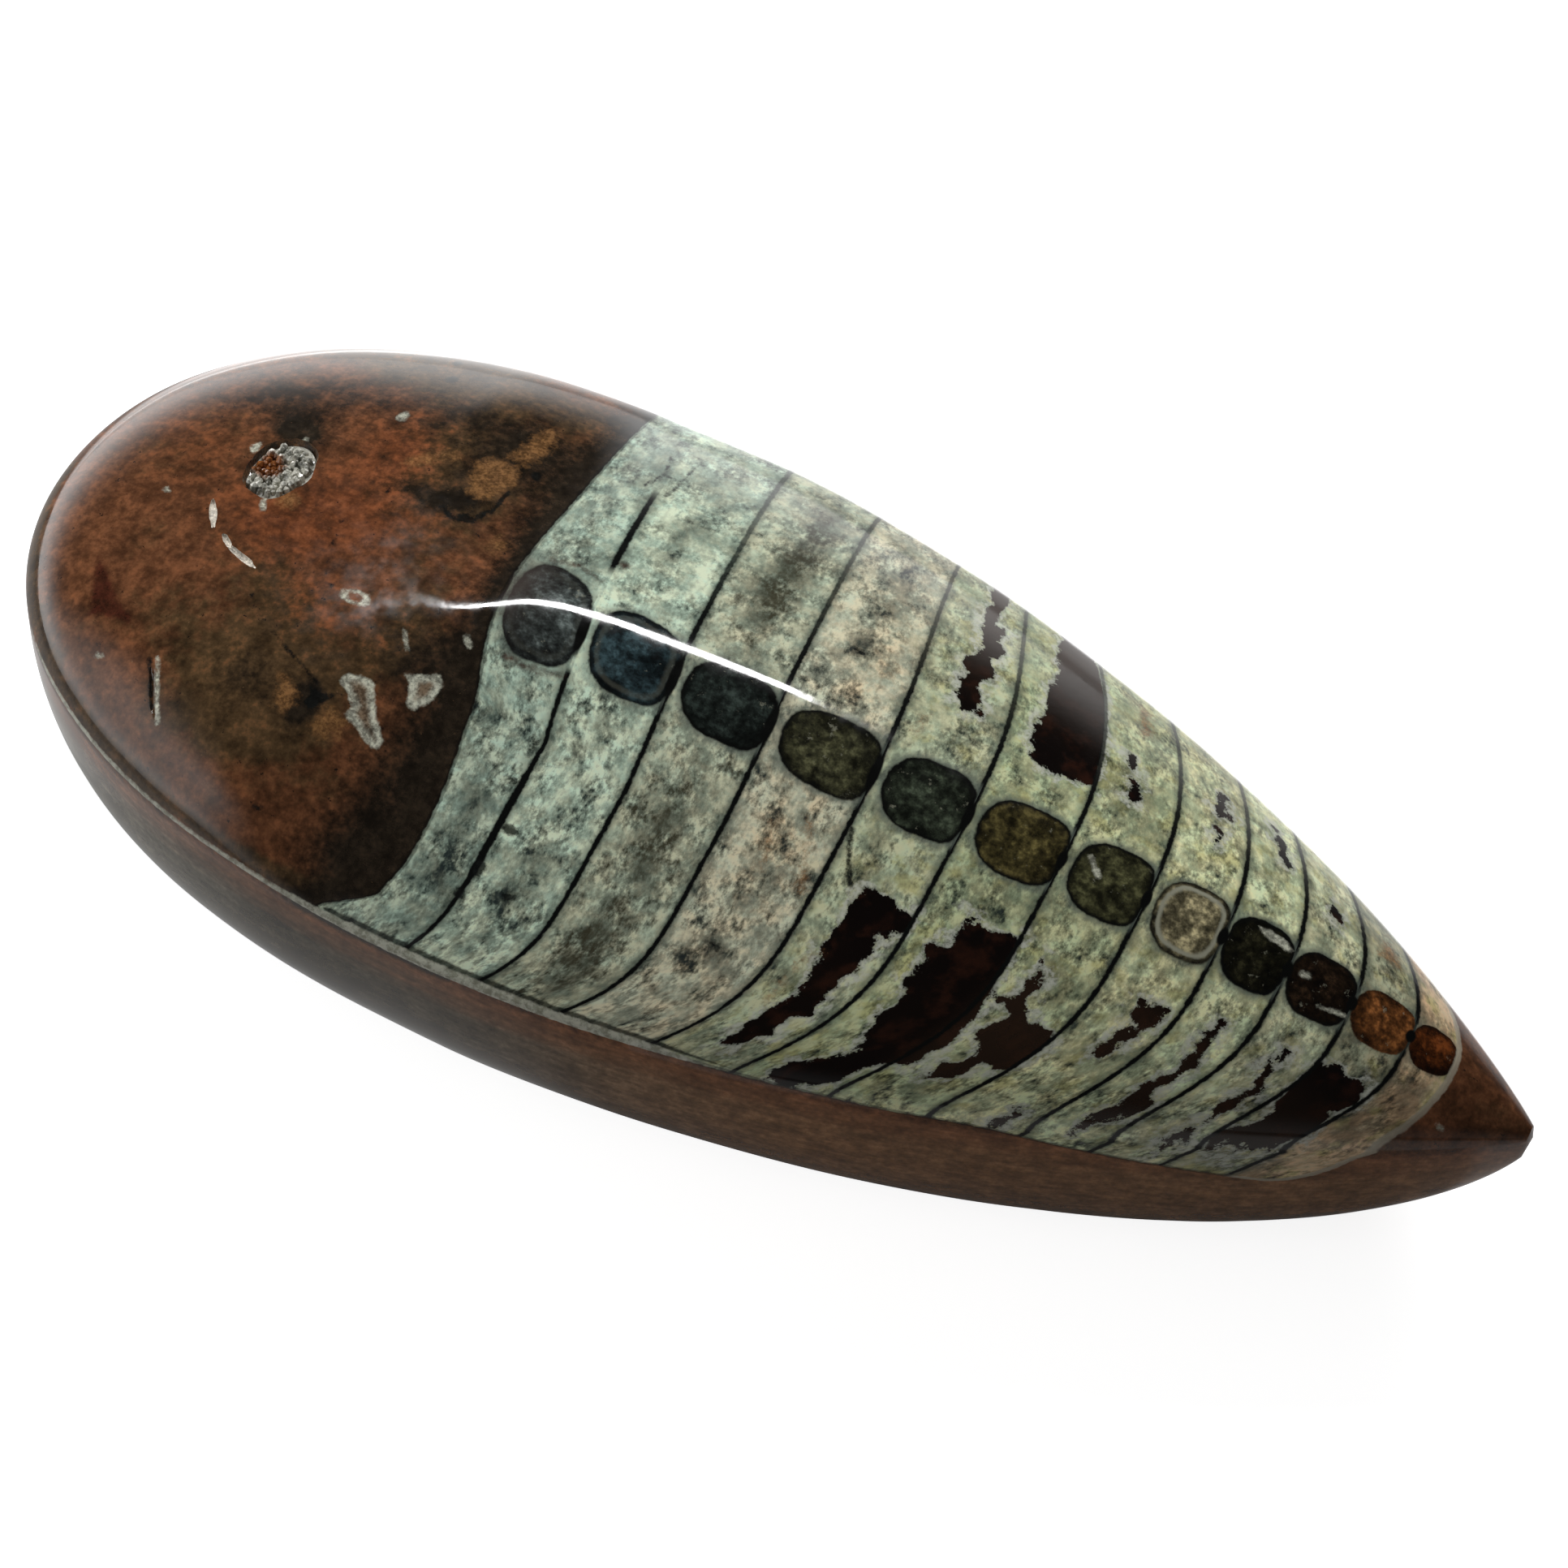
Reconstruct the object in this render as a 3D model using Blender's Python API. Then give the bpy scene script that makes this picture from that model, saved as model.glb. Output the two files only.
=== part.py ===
"""Polished orthoceras fossil.

A straight-shelled fossil in its rock, ground and polished to one smooth torpedo-shaped stone: a blunt rounded head,
an arched top that meets in a soft ridge, rounded sides, a pointed tail and a flat base to lie on. A small natural
hollow near the head is lined with a crust of crystals, and three shallow nicks mark the polish beside it.

Lengths are in metres, +Z is up. The origin is on the base plane, half-way between head and tip, and +X runs from
the head to the tip. The girdle is the level where the stone is widest, and a station is a distance from the head.
"""

import math
import random
from dataclasses import dataclass

import bmesh
import bpy
from mathutils import Matrix, Vector

MM = 0.001
NAME = "orthoceras_fossil"

# The stone as a whole.
LENGTH = 150.0 * MM
HALF_WIDTH = 33.0 * MM
RIDGE_HEIGHT = 13.0 * MM
HULL_DEPTH = 25.0 * MM
BASE_DEPTH = 19.0 * MM
BASE_EDGE_SOFTNESS = 3.0 * MM
TIP_BLUNTNESS = 0.6 * MM

# The cross-section: how square the arch and the hull are, the kink along the ridge and that along the shoulders.
ARCH_POWER = 2.05
HULL_POWER = 3.16
RIDGE_KINK = 0.16
RIDGE_KINK_STARTS = 36.0 * MM
RIDGE_KINK_IS_FULL = 50.0 * MM
SHOULDER_ANGLE = math.radians(10.0)
SHOULDER_STARTS_FADING = 60.0 * MM
SHOULDER_HAS_FADED = 115.0 * MM

# How far the hand-ground ridge sways sideways: the amplitudes of one to four half waves along the stone.
RIDGE_SWAY = (0.05 * MM, -2.25 * MM, -2.5 * MM, -1.55 * MM)

# Mesh density: points around the section and rings along the stone.
SECTION_POINTS = 72
RINGS = 56

# The crystal-lined hollow: where it is, its half sizes along and across the stone, and its depth.
HOLLOW_STATION = 21.1 * MM
HOLLOW_OFFSET = 4.5 * MM
HOLLOW_HALF_LENGTH = 2.9 * MM
HOLLOW_HALF_BREADTH = 3.6 * MM
HOLLOW_DEPTH = 2.4 * MM

# The crust of crystals in it.
CRUST_GAP = 0.3 * MM
CRUST_TOP = 1.0 * MM
CRYSTALS_ACROSS = 5
CRYSTAL_SIDES = 6
CRYSTAL_RADIUS = 0.55 * MM
CRYSTAL_LENGTH = 1.7 * MM
CRYSTAL_LEAN = math.radians(24.0)
CRYSTAL_SEED = 11


@dataclass(frozen=True)
class Profile:
    """A rise from nothing at the head to full size, and a fall to nothing at the tip."""

    full_size: float
    peak_station: float
    head_power: float
    tail_power: float
    tail_root: float

    def at(self, station):
        """Return the size at a station."""
        if station < self.peak_station:
            share = 1.0 - station / self.peak_station
            return self.full_size * math.sqrt(max(0.0, 1.0 - share**self.head_power))
        share = (station - self.peak_station) / (LENGTH + TIP_BLUNTNESS - self.peak_station)
        return self.full_size * max(0.0, 1.0 - share**self.tail_power) ** self.tail_root


WIDTH = Profile(HALF_WIDTH, 57.5 * MM, 2.63, 1.75, 0.889)
RIDGE = Profile(RIDGE_HEIGHT, 86.0 * MM, 1.87, 2.57, 0.86)
HULL = Profile(HULL_DEPTH, 57.5 * MM, 2.97, 4.84, 0.662)


@dataclass(frozen=True)
class Nick:
    """A shallow scar in the polish, from one (station, offset) point to another."""

    name: str
    start: tuple
    end: tuple
    width: float
    depth: float


NICKS = (
    Nick("nick_front", (17.1 * MM, -1.6 * MM), (18.8 * MM, -4.3 * MM), 1.1 * MM, 0.35 * MM),
    Nick("nick_rear", (20.9 * MM, -6.0 * MM), (24.4 * MM, -6.6 * MM), 1.0 * MM, 0.35 * MM),
    Nick("groove", (22.1 * MM, -20.8 * MM), (24.7 * MM, -24.6 * MM), 0.9 * MM, 0.35 * MM),
)


def smooth_step(value, low, high):
    """Return 0 below low, 1 above high and a smooth curve between."""
    share = min(1.0, max(0.0, (value - low) / (high - low)))
    return share * share * (3.0 - 2.0 * share)


def smooth_min(first, second, softness):
    """Return the smaller of two values, rounded off where they are within softness of each other."""
    overlap = max(0.0, softness - abs(first - second)) / softness
    return min(first, second) - overlap * overlap * softness / 4.0


def ridge_sway(station):
    """Return how far the ridge lies off the centre line, towards +Y, at a station."""
    half_wave = math.pi * station / LENGTH
    return sum(size * math.sin((index + 1) * half_wave) for index, size in enumerate(RIDGE_SWAY))


def shoulder_angle(station):
    """Return the angle at which the arch starts at the shoulder: the kink there fades towards the tip."""
    return SHOULDER_ANGLE * (1.0 - smooth_step(station, SHOULDER_STARTS_FADING, SHOULDER_HAS_FADED))


def ridge_kink(station):
    """Return how much of the arch's rise is a straight slope up to the ridge."""
    kink = RIDGE_KINK * smooth_step(station, RIDGE_KINK_STARTS, RIDGE_KINK_IS_FULL) * WIDTH.at(station)
    return min(kink, 0.8 * RIDGE.at(station))


def arch_point(station, climb, side):
    """Return the (y, z) of a point on the top, with z from the girdle.

    climb runs from 0 at the shoulder to a quarter turn at the ridge, and side is 1 for +Y or -1 for -Y.
    """
    start = shoulder_angle(station)
    kink = ridge_kink(station)
    angle = start + (math.pi / 2 - start) * climb / (math.pi / 2)
    across = (max(0.0, math.cos(angle)) / math.cos(start)) ** (2.0 / ARCH_POWER)
    up = math.sin(angle) ** (2.0 / ARCH_POWER)
    offset = side * WIDTH.at(station) * across + ridge_sway(station) * (1.0 - across * across)
    height = (RIDGE.at(station) - kink) * up + kink * (1.0 - across)
    return offset, height


def hull_point(station, drop, side):
    """Return the (y, z) of a point below the shoulder, where drop is 0, round to the middle of the base."""
    shoulder_height = arch_point(station, 0.0, side)[1]
    across = max(0.0, math.cos(drop)) ** (2.0 / HULL_POWER)
    down = max(0.0, math.sin(drop)) ** (2.0 / HULL_POWER)
    depth = (HULL.at(station) + shoulder_height) * down - shoulder_height
    return side * WIDTH.at(station) * across, -smooth_min(depth, BASE_DEPTH, BASE_EDGE_SOFTNESS)


def stone_point(direction):
    """Return the point of the stone's surface for a direction from the centre of a unit sphere."""
    station = LENGTH * (1.0 + direction.x) / 2.0
    turn = math.hypot(direction.y, direction.z)
    if turn < 1e-6:
        offset, height = 0.0, (RIDGE.at(station) - HULL.at(station)) / 2.0
    else:
        side = 1.0 if direction.y >= 0.0 else -1.0
        swing = math.atan2(abs(direction.z), abs(direction.y))
        section = arch_point if direction.z >= 0.0 else hull_point
        offset, height = section(station, swing, side)
    return Vector((station - LENGTH / 2, offset, BASE_DEPTH + height))


def top_point(station, offset):
    """Return the point of the stone's top at a station and an offset from the centre line."""
    side = 1.0 if offset >= ridge_sway(station) else -1.0
    low, high = 0.0, math.pi / 2
    for _ in range(40):
        climb = (low + high) / 2
        further_out = side * (arch_point(station, climb, side)[0] - offset) > 0.0
        low, high = (climb, high) if further_out else (low, climb)
    offset, height = arch_point(station, low, side)
    return Vector((station - LENGTH / 2, offset, BASE_DEPTH + height))


def top_frame(start, end):
    """Return the matrix of a frame on the top: its origin between two points, X towards end and Z outwards."""
    step = 0.2 * MM
    station = (start[0] + end[0]) / 2
    offset = (start[1] + end[1]) / 2
    origin = top_point(station, offset)
    along_stone = top_point(station + step, offset) - top_point(station - step, offset)
    across_stone = top_point(station, offset + step) - top_point(station, offset - step)
    normal = along_stone.cross(across_stone).normalized()
    forward = top_point(*end) - top_point(*start)
    forward = (forward - forward.project(normal)).normalized()
    sideways = normal.cross(forward)
    frame = Matrix((forward, sideways, normal)).transposed().to_4x4()
    frame.translation = origin
    return frame


def make_object(name, mesh_builder, collection):
    """Build a mesh with bmesh, and return its new object in a collection."""
    mesh = bpy.data.meshes.new(name)
    work = bmesh.new()
    mesh_builder(work)
    work.to_mesh(mesh)
    work.free()
    built = bpy.data.objects.new(name, mesh)
    collection.objects.link(built)
    return built


def make_ellipsoid(name, frame, half_sizes, segments, collection):
    """Return an ellipsoid with its centre and axes on a frame."""

    def build(work):
        bmesh.ops.create_uvsphere(work, u_segments=segments, v_segments=segments // 2, radius=1.0)
        work.transform(frame @ Matrix.Diagonal((*half_sizes, 1.0)))

    return make_object(name, build, collection)


def combine(target, operation, cutter):
    """Add a Boolean modifier to an object, and hide the cutter that it uses."""
    cutter.hide_render = True
    cutter.display_type = "WIRE"
    modifier = target.modifiers.new(cutter.name, "BOOLEAN")
    modifier.operation = operation
    modifier.solver = "EXACT"
    modifier.use_self = operation == "UNION"
    modifier.object = cutter


def make_material(name, colour, roughness):
    """Return a Principled material."""
    material = bpy.data.materials.new(name)
    material.use_nodes = True
    shader = material.node_tree.nodes["Principled BSDF"]
    shader.inputs["Base Color"].default_value = (*colour, 1.0)
    shader.inputs["Roughness"].default_value = roughness
    shader.inputs["Metallic"].default_value = 0.0
    return material


def make_stone(collection):
    """Return the polished stone, shaped from a sphere whose poles are the head and the tip."""

    def build(work):
        bmesh.ops.create_uvsphere(work, u_segments=SECTION_POINTS, v_segments=RINGS, radius=1.0)
        work.transform(Matrix.Rotation(math.pi / 2, 4, "Y"))
        for vertex in work.verts:
            vertex.co = stone_point(vertex.co)
        bmesh.ops.recalc_face_normals(work, faces=work.faces)

    stone = make_object("stone", build, collection)
    stone.data.shade_smooth()
    stone.data.set_sharp_from_angle(angle=math.radians(30.0))
    stone.data.materials.append(make_material("polished_stone", (0.26, 0.23, 0.18), 0.12))
    return stone


def cut_hollow(stone, frame, cutters):
    """Sink the natural hollow into the stone's top."""
    half_sizes = (HOLLOW_HALF_LENGTH, HOLLOW_HALF_BREADTH, HOLLOW_DEPTH)
    combine(stone, "DIFFERENCE", make_ellipsoid("hollow_cutter", frame, half_sizes, 28, cutters))


def cut_nicks(stone, cutters):
    """Scar the polish with the shallow nicks."""
    for nick in NICKS:
        frame = top_frame(nick.start, nick.end)
        length = (Vector(nick.end) - Vector(nick.start)).length
        half_sizes = (length / 2, nick.width / 2, nick.depth)
        combine(stone, "DIFFERENCE", make_ellipsoid(nick.name, frame, half_sizes, 16, cutters))


def crystal_places():
    """Return the (x, y) places and the sizes of the crystals, on a jittered grid that fills the crust's oval."""
    chance = random.Random(CRYSTAL_SEED)
    half_length = HOLLOW_HALF_LENGTH - CRUST_GAP - CRYSTAL_RADIUS
    half_breadth = HOLLOW_HALF_BREADTH - CRUST_GAP - CRYSTAL_RADIUS
    places = []
    for row in range(CRYSTALS_ACROSS):
        for column in range(CRYSTALS_ACROSS):
            along = 2.0 * (row + chance.uniform(0.25, 0.75)) / CRYSTALS_ACROSS - 1.0
            across = 2.0 * (column + chance.uniform(0.25, 0.75)) / CRYSTALS_ACROSS - 1.0
            size = chance.uniform(0.7, 1.0)
            if math.hypot(along, across) < 0.84:
                places.append((0.86 * along * half_length, 0.86 * across * half_breadth, size))
    return places


def crystal_frame(along, across):
    """Return the frame of a crystal that leans towards the middle of the hollow."""
    lean = Matrix.Rotation(CRYSTAL_LEAN * across / HOLLOW_HALF_BREADTH, 4, "X")
    lean = lean @ Matrix.Rotation(-CRYSTAL_LEAN * along / HOLLOW_HALF_LENGTH, 4, "Y")
    return Matrix.Translation((along, across, -CRUST_TOP)) @ lean


def make_crystals(frame, cutters):
    """Return the crystals as one cutter object, each a six-sided pyramid that stands in the crust."""

    def build(work):
        for along, across, size in crystal_places():
            bmesh.ops.create_cone(
                work,
                cap_ends=True,
                segments=CRYSTAL_SIDES,
                radius1=CRYSTAL_RADIUS * size,
                radius2=0.0,
                depth=CRYSTAL_LENGTH * size,
                matrix=frame @ crystal_frame(along, across),
            )

    return make_object("crystal_points", build, cutters)


def make_crust(frame, collection, cutters):
    """Return the crust: a disc with the crystals fused to it, trimmed to the hollow's form clear of its walls."""

    def build(work):
        bmesh.ops.create_cone(
            work,
            cap_ends=True,
            segments=24,
            radius1=HOLLOW_HALF_BREADTH,
            radius2=HOLLOW_HALF_BREADTH,
            depth=HOLLOW_DEPTH,
            matrix=frame @ Matrix.Translation((0.0, 0.0, -CRUST_TOP - HOLLOW_DEPTH / 2)),
        )

    crust = make_object("crystal_crust", build, collection)
    combine(crust, "UNION", make_crystals(frame, cutters))
    half_sizes = (HOLLOW_HALF_LENGTH - CRUST_GAP, HOLLOW_HALF_BREADTH - CRUST_GAP, HOLLOW_DEPTH - CRUST_GAP)
    combine(crust, "INTERSECT", make_ellipsoid("crust_limit", frame, half_sizes, 28, cutters))
    crust.data.materials.append(make_material("crystals", (0.62, 0.58, 0.52), 0.2))
    return crust


def main():
    """Clear the scene and build the fossil."""
    for stale in list(bpy.data.objects):
        bpy.data.objects.remove(stale, do_unlink=True)
    parts = bpy.data.collections.new(NAME)
    cutters = bpy.data.collections.new("cutters")
    bpy.context.scene.collection.children.link(parts)
    bpy.context.scene.collection.children.link(cutters)

    stone = make_stone(parts)
    hollow_start = (HOLLOW_STATION - MM, HOLLOW_OFFSET)
    hollow_end = (HOLLOW_STATION + MM, HOLLOW_OFFSET)
    hollow_frame = top_frame(hollow_start, hollow_end)
    cut_hollow(stone, hollow_frame, cutters)
    cut_nicks(stone, cutters)
    make_crust(hollow_frame, parts, cutters)


main()
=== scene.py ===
"""Polished orthoceras fossil: the dressed model.

One smooth torpedo of limestone with a straight-shelled fossil in it. The stone's surface follows the same
section formulas as its solid, on a finer mesh, and carries the fossil as smooth fields: how deep a point lies
in the shell, which chamber it is in, how far it is from a bead, a cavity, a stain or a patch of painted sheen.
The materials turn those fields into crisp edges, grain and colour. A crust of crystals sits in the small
natural hollow of the head.

Fields and sizes are in millimetres, and MM turns them into the scene's metres. A station is a distance from
the head, an offset a distance from the centre line towards +Y, and a height a distance above the girdle, where
the stone is widest. The far side is +Y and the near side -Y.
"""

from __future__ import annotations

import logging  # noqa: E402
import math  # noqa: E402
import random  # noqa: E402
from dataclasses import dataclass, field  # noqa: E402
from enum import Enum  # noqa: E402

import bmesh  # noqa: E402
import bpy  # noqa: E402
import numpy as np  # noqa: E402
from bmesh.types import BMesh  # noqa: E402
from bpy.types import ID, Material, Mesh, Node, NodeTree, Object  # noqa: E402
from bpy.types import NodeSocket as Socket  # noqa: E402
from mathutils import Matrix, Vector  # noqa: E402


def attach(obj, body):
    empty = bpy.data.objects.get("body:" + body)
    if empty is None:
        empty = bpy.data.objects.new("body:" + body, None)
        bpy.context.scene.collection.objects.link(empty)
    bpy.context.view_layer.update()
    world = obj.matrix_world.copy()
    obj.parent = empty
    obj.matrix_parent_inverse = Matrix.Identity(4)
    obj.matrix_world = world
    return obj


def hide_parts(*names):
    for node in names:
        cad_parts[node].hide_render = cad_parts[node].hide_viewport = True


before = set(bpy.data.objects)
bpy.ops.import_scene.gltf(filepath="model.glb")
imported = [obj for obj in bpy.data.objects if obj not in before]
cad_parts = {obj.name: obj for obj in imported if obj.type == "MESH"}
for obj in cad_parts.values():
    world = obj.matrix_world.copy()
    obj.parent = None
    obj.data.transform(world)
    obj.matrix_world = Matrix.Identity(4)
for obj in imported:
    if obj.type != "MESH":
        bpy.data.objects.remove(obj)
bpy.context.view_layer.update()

MM = 0.001
LOG = logging.getLogger("orthoceras")

Array = np.ndarray
Numbers = tuple[float, ...]
Point = tuple[float, float]
Span = tuple[float, float]
Triple = tuple[float, float, float]
Colour = Triple


class Side(Enum):
    """The two sides of the stone's centre line."""

    FAR = 1.0
    NEAR = -1.0


class Section(Enum):
    """The two formulas that make up the stone's cross section."""

    ARCH = "arch"
    HULL = "hull"


class Field(Enum):
    """The smooth fields that the stone's surface carries for its material."""

    GROWTH = "growth"
    CHAMBER = "chamber"
    CHAMBER_LENGTH = "chamber_length"
    SEPTUM = "septum"
    FOSSIL = "fossil"
    WALL = "wall"
    BEAD = "bead"
    CAVITY = "cavity"
    # Smudges and blushes, and a purple-grey haze that is partly painted sheen.
    STAIN = "stain"
    TONE = "tone"
    PALE = "pale"
    OCHRE = "ochre"
    DARK = "dark"
    MAROON = "maroon"
    DROP = "drop"


class Surface(Enum):
    """The material slots of the stone's faces."""

    POLISHED = 0
    NICKED = 1
    HOLLOWED = 2


def srgb(red: int, green: int, blue: int) -> Colour:
    """Return the linear colour of three display values from 0 to 255.

    Args:
        red: Display value of red.
        green: Display value of green.
        blue: Display value of blue.

    Returns:
        The colour in linear light.
    """

    def linear(value: float) -> float:
        """Return the linear light of one display value."""
        share = value / 255.0
        return share / 12.92 if share <= 0.04045 else ((share + 0.055) / 1.055) ** 2.4

    return linear(red), linear(green), linear(blue)


def smooth_step(value: Array, low: float, high: float) -> Array:
    """Return 0 below low, 1 above high and a smooth curve between."""
    share = np.clip((value - low) / (high - low), 0.0, 1.0)
    return share * share * (3.0 - 2.0 * share)


def smooth_min(first: Array, second: Array, softness: float) -> Array:
    """Return the smaller of two fields, rounded off where they are within softness of each other."""
    overlap = np.clip(softness - np.abs(first - second), 0.0, None) / softness
    return np.minimum(first, second) - overlap * overlap * softness / 4.0


def smooth_through(value: Array, places: Numbers, heights: Numbers) -> Array:
    """Return a smooth curve through points, straight beyond the first and last of them.

    Args:
        value: Where the curve is wanted.
        places: Rising places of the points.
        heights: What the curve is at each place.

    Returns:
        The curve at each value.
    """
    spots = np.asarray(places)
    levels = np.asarray(heights)
    slopes = np.gradient(levels, spots)
    index = np.clip(np.searchsorted(spots, value) - 1, 0, len(spots) - 2)
    span = spots[index + 1] - spots[index]
    share = np.clip((value - spots[index]) / span, 0.0, 1.0)
    rise = share * share * (3.0 - 2.0 * share)
    leave = share * (1.0 - share) ** 2
    arrive = -share * share * (1.0 - share)
    curve = levels[index] * (1.0 - rise) + levels[index + 1] * rise
    curve = curve + span * (slopes[index] * leave + slopes[index + 1] * arrive)
    before = np.minimum(value - spots[0], 0.0) * slopes[0]
    beyond = np.maximum(value - spots[-1], 0.0) * slopes[-1]
    return curve + before + beyond


def evenly(fine: Array, steps: Array, count: int) -> Array:
    """Return values that cut a path, given by fine values and the steps between them, into equal parts."""
    path = np.concatenate(([0.0], np.cumsum(steps)))
    return np.interp(np.linspace(0.0, path[-1], count + 1), path, fine)


def frame_at(origin: Vector, right: Vector, up: Vector, out: Vector) -> Matrix:
    """Return the frame with an origin and three axes.

    Args:
        origin: Where its origin is.
        right: Its X axis.
        up: Its Y axis.
        out: Its Z axis.

    Returns:
        The frame.
    """
    placed = Matrix((right, up, out)).transposed().to_4x4()
    placed.translation = origin
    return placed


# ---- The stone's form.


@dataclass(frozen=True)
class Profile:
    """A rise from nothing at the head to full size, and a fall to nothing at the tip."""

    full_size: float
    peak_station: float
    head_power: float
    tail_power: float
    tail_root: float

    def at(self, station: Array, reach: float) -> Array:
        """Return the size at each station.

        Args:
            station: Distances from the head.
            reach: The station where the size would fall to nothing.

        Returns:
            The sizes, none below 0.
        """
        head_share = np.clip(1.0 - station / self.peak_station, 0.0, 1.0)
        rise = np.sqrt(np.clip(1.0 - head_share**self.head_power, 0.0, 1.0))
        tail_share = np.clip((station - self.peak_station) / (reach - self.peak_station), 0.0, 1.0)
        fall = np.clip(1.0 - tail_share**self.tail_power, 0.0, 1.0) ** self.tail_root
        return self.full_size * np.where(station < self.peak_station, rise, fall)


@dataclass(frozen=True)
class StoneForm:
    """The section formulas of the stone, the same as those of its solid."""

    length: float = 150.0
    base_depth: float = 19.0
    base_edge_softness: float = 3.0
    tip_bluntness: float = 0.6
    arch_power: float = 2.05
    hull_power: float = 3.16
    ridge_kink: float = 0.16
    ridge_kink_starts: float = 32.0
    ridge_kink_is_full: float = 49.0
    ridge_rounding: float = 0.045
    shoulder_angle: float = math.radians(10.0)
    shoulder_starts_fading: float = 60.0
    shoulder_has_faded: float = 115.0
    sway_stations: Numbers = (0, 20, 34, 40, 44.7, 47, 49, 51.5, 55.6, 64, 75, 85, 100, 125, 150)
    sway_offsets: Numbers = (0, -5.4, -5, -4, -2.8, -1.4, -0.1, 0.8, 1.45, 1.85, 2.1, 1.9, 0.7, 0.8, 0)
    width_profile: Profile = Profile(33.0, 57.5, 2.63, 1.75, 0.889)
    ridge_profile: Profile = Profile(13.0, 86.0, 1.87, 2.57, 0.86)
    hull_profile: Profile = Profile(25.0, 57.5, 2.97, 4.84, 0.662)

    @property
    def reach(self) -> float:
        """Return the station where the sizes would fall to nothing."""
        return self.length + self.tip_bluntness

    def width(self, station: Array) -> Array:
        """Return the half width at each station."""
        return self.width_profile.at(station, self.reach)

    def ridge(self, station: Array) -> Array:
        """Return the ridge's height at each station."""
        return self.ridge_profile.at(station, self.reach)

    def shoulder_height(self, station: Array) -> Array:
        """Return the shoulder's height at each station."""
        return self.arch(station, np.zeros_like(station), 1.0)[1]

    def sway(self, station: Array) -> Array:
        """Return how far the ridge lies off the centre line at each station."""
        return smooth_through(station, self.sway_stations, self.sway_offsets)

    def arch(self, station: Array, climb: Array, side: float) -> tuple[Array, Array]:
        """Return points on the top.

        Args:
            station: Distances from the head.
            climb: Angles from 0 at the shoulder to a quarter turn at the ridge.
            side: 1 for the far side, -1 for the near side.

        Returns:
            The offsets and the heights.
        """
        fade = smooth_step(station, self.shoulder_starts_fading, self.shoulder_has_faded)
        start = self.shoulder_angle * (1.0 - fade)
        kink_share = smooth_step(station, self.ridge_kink_starts, self.ridge_kink_is_full)
        kink = np.minimum(self.ridge_kink * kink_share * self.width(station), 0.8 * self.ridge(station))
        angle = start + (np.pi / 2 - start) * climb / (np.pi / 2)
        across = (np.clip(np.cos(angle), 0.0, 1.0) / np.cos(start)) ** (2.0 / self.arch_power)
        up = np.sin(angle) ** (2.0 / self.arch_power)
        rounded = np.sqrt(across**2 + self.ridge_rounding**2) - self.ridge_rounding
        offset = side * self.width(station) * across + self.sway(station) * (1.0 - across**2)
        return offset, (self.ridge(station) - kink) * up + kink * (1.0 - rounded)

    def hull(self, station: Array, drop: Array, side: float) -> tuple[Array, Array]:
        """Return points below the shoulder.

        Args:
            station: Distances from the head.
            drop: Angles from 0 at the shoulder to a quarter turn at the middle of the base.
            side: 1 for the far side, -1 for the near side.

        Returns:
            The offsets and the heights.
        """
        shoulder_height = self.shoulder_height(station)
        across = np.clip(np.cos(drop), 0.0, 1.0) ** (2.0 / self.hull_power)
        down = np.clip(np.sin(drop), 0.0, 1.0) ** (2.0 / self.hull_power)
        depth = (self.hull_profile.at(station, self.reach) + shoulder_height) * down - shoulder_height
        deepest = np.full_like(depth, self.base_depth)
        return side * self.width(station) * across, -smooth_min(depth, deepest, self.base_edge_softness)

    def points(self, section: Section, station: Array, angle: Array, side: Side) -> tuple[Array, Array]:
        """Return the offsets and heights of points on one side of a section."""
        formula = self.arch if section is Section.ARCH else self.hull
        return formula(station, angle, side.value)

    def top_point(self, station: float, offset: float) -> Vector:
        """Return a point of the top in the scene's metres.

        Args:
            station: Distance from the head.
            offset: Distance from the centre line.

        Returns:
            The point, found by halving the climb between shoulder and ridge.
        """
        place = np.array([station])
        side = Side.FAR if offset >= self.sway(place)[0] else Side.NEAR
        low, high = 0.0, math.pi / 2
        for _ in range(30):
            climb = (low + high) / 2
            reached = self.arch(place, np.array([climb]), side.value)[0][0]
            low, high = (climb, high) if side.value * (reached - offset) > 0.0 else (low, climb)
        across, height = self.arch(place, np.array([low]), side.value)
        return self.to_scene(station, float(across[0]), float(height[0]))

    def to_scene(self, station: float, offset: float, height: float) -> Vector:
        """Return a point in the scene's metres."""
        return Vector((station - self.length / 2, offset, self.base_depth + height)) * MM

    def top_frame(self, start: Point, end: Point) -> Matrix:
        """Return a frame on the top, in metres.

        Args:
            start: Station and offset of one point.
            end: Station and offset of another.

        Returns:
            A matrix with its origin between the points, X towards end and Z outwards.
        """
        step = 0.2
        station = (start[0] + end[0]) / 2
        offset = (start[1] + end[1]) / 2
        origin = self.top_point(station, offset)
        along = self.top_point(station + step, offset) - self.top_point(station - step, offset)
        across = self.top_point(station, offset + step) - self.top_point(station, offset - step)
        normal = along.cross(across).normalized()
        forward = self.top_point(*end) - self.top_point(*start)
        forward = (forward - forward.project(normal)).normalized()
        return frame_at(origin, forward, normal.cross(forward), normal)


# ---- The fossil's pattern and the marks in the stone.


@dataclass(frozen=True)
class Lobe:
    """How the septa bend back towards the head on one side of the shell."""

    bulges: Numbers
    powers: Numbers


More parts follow.
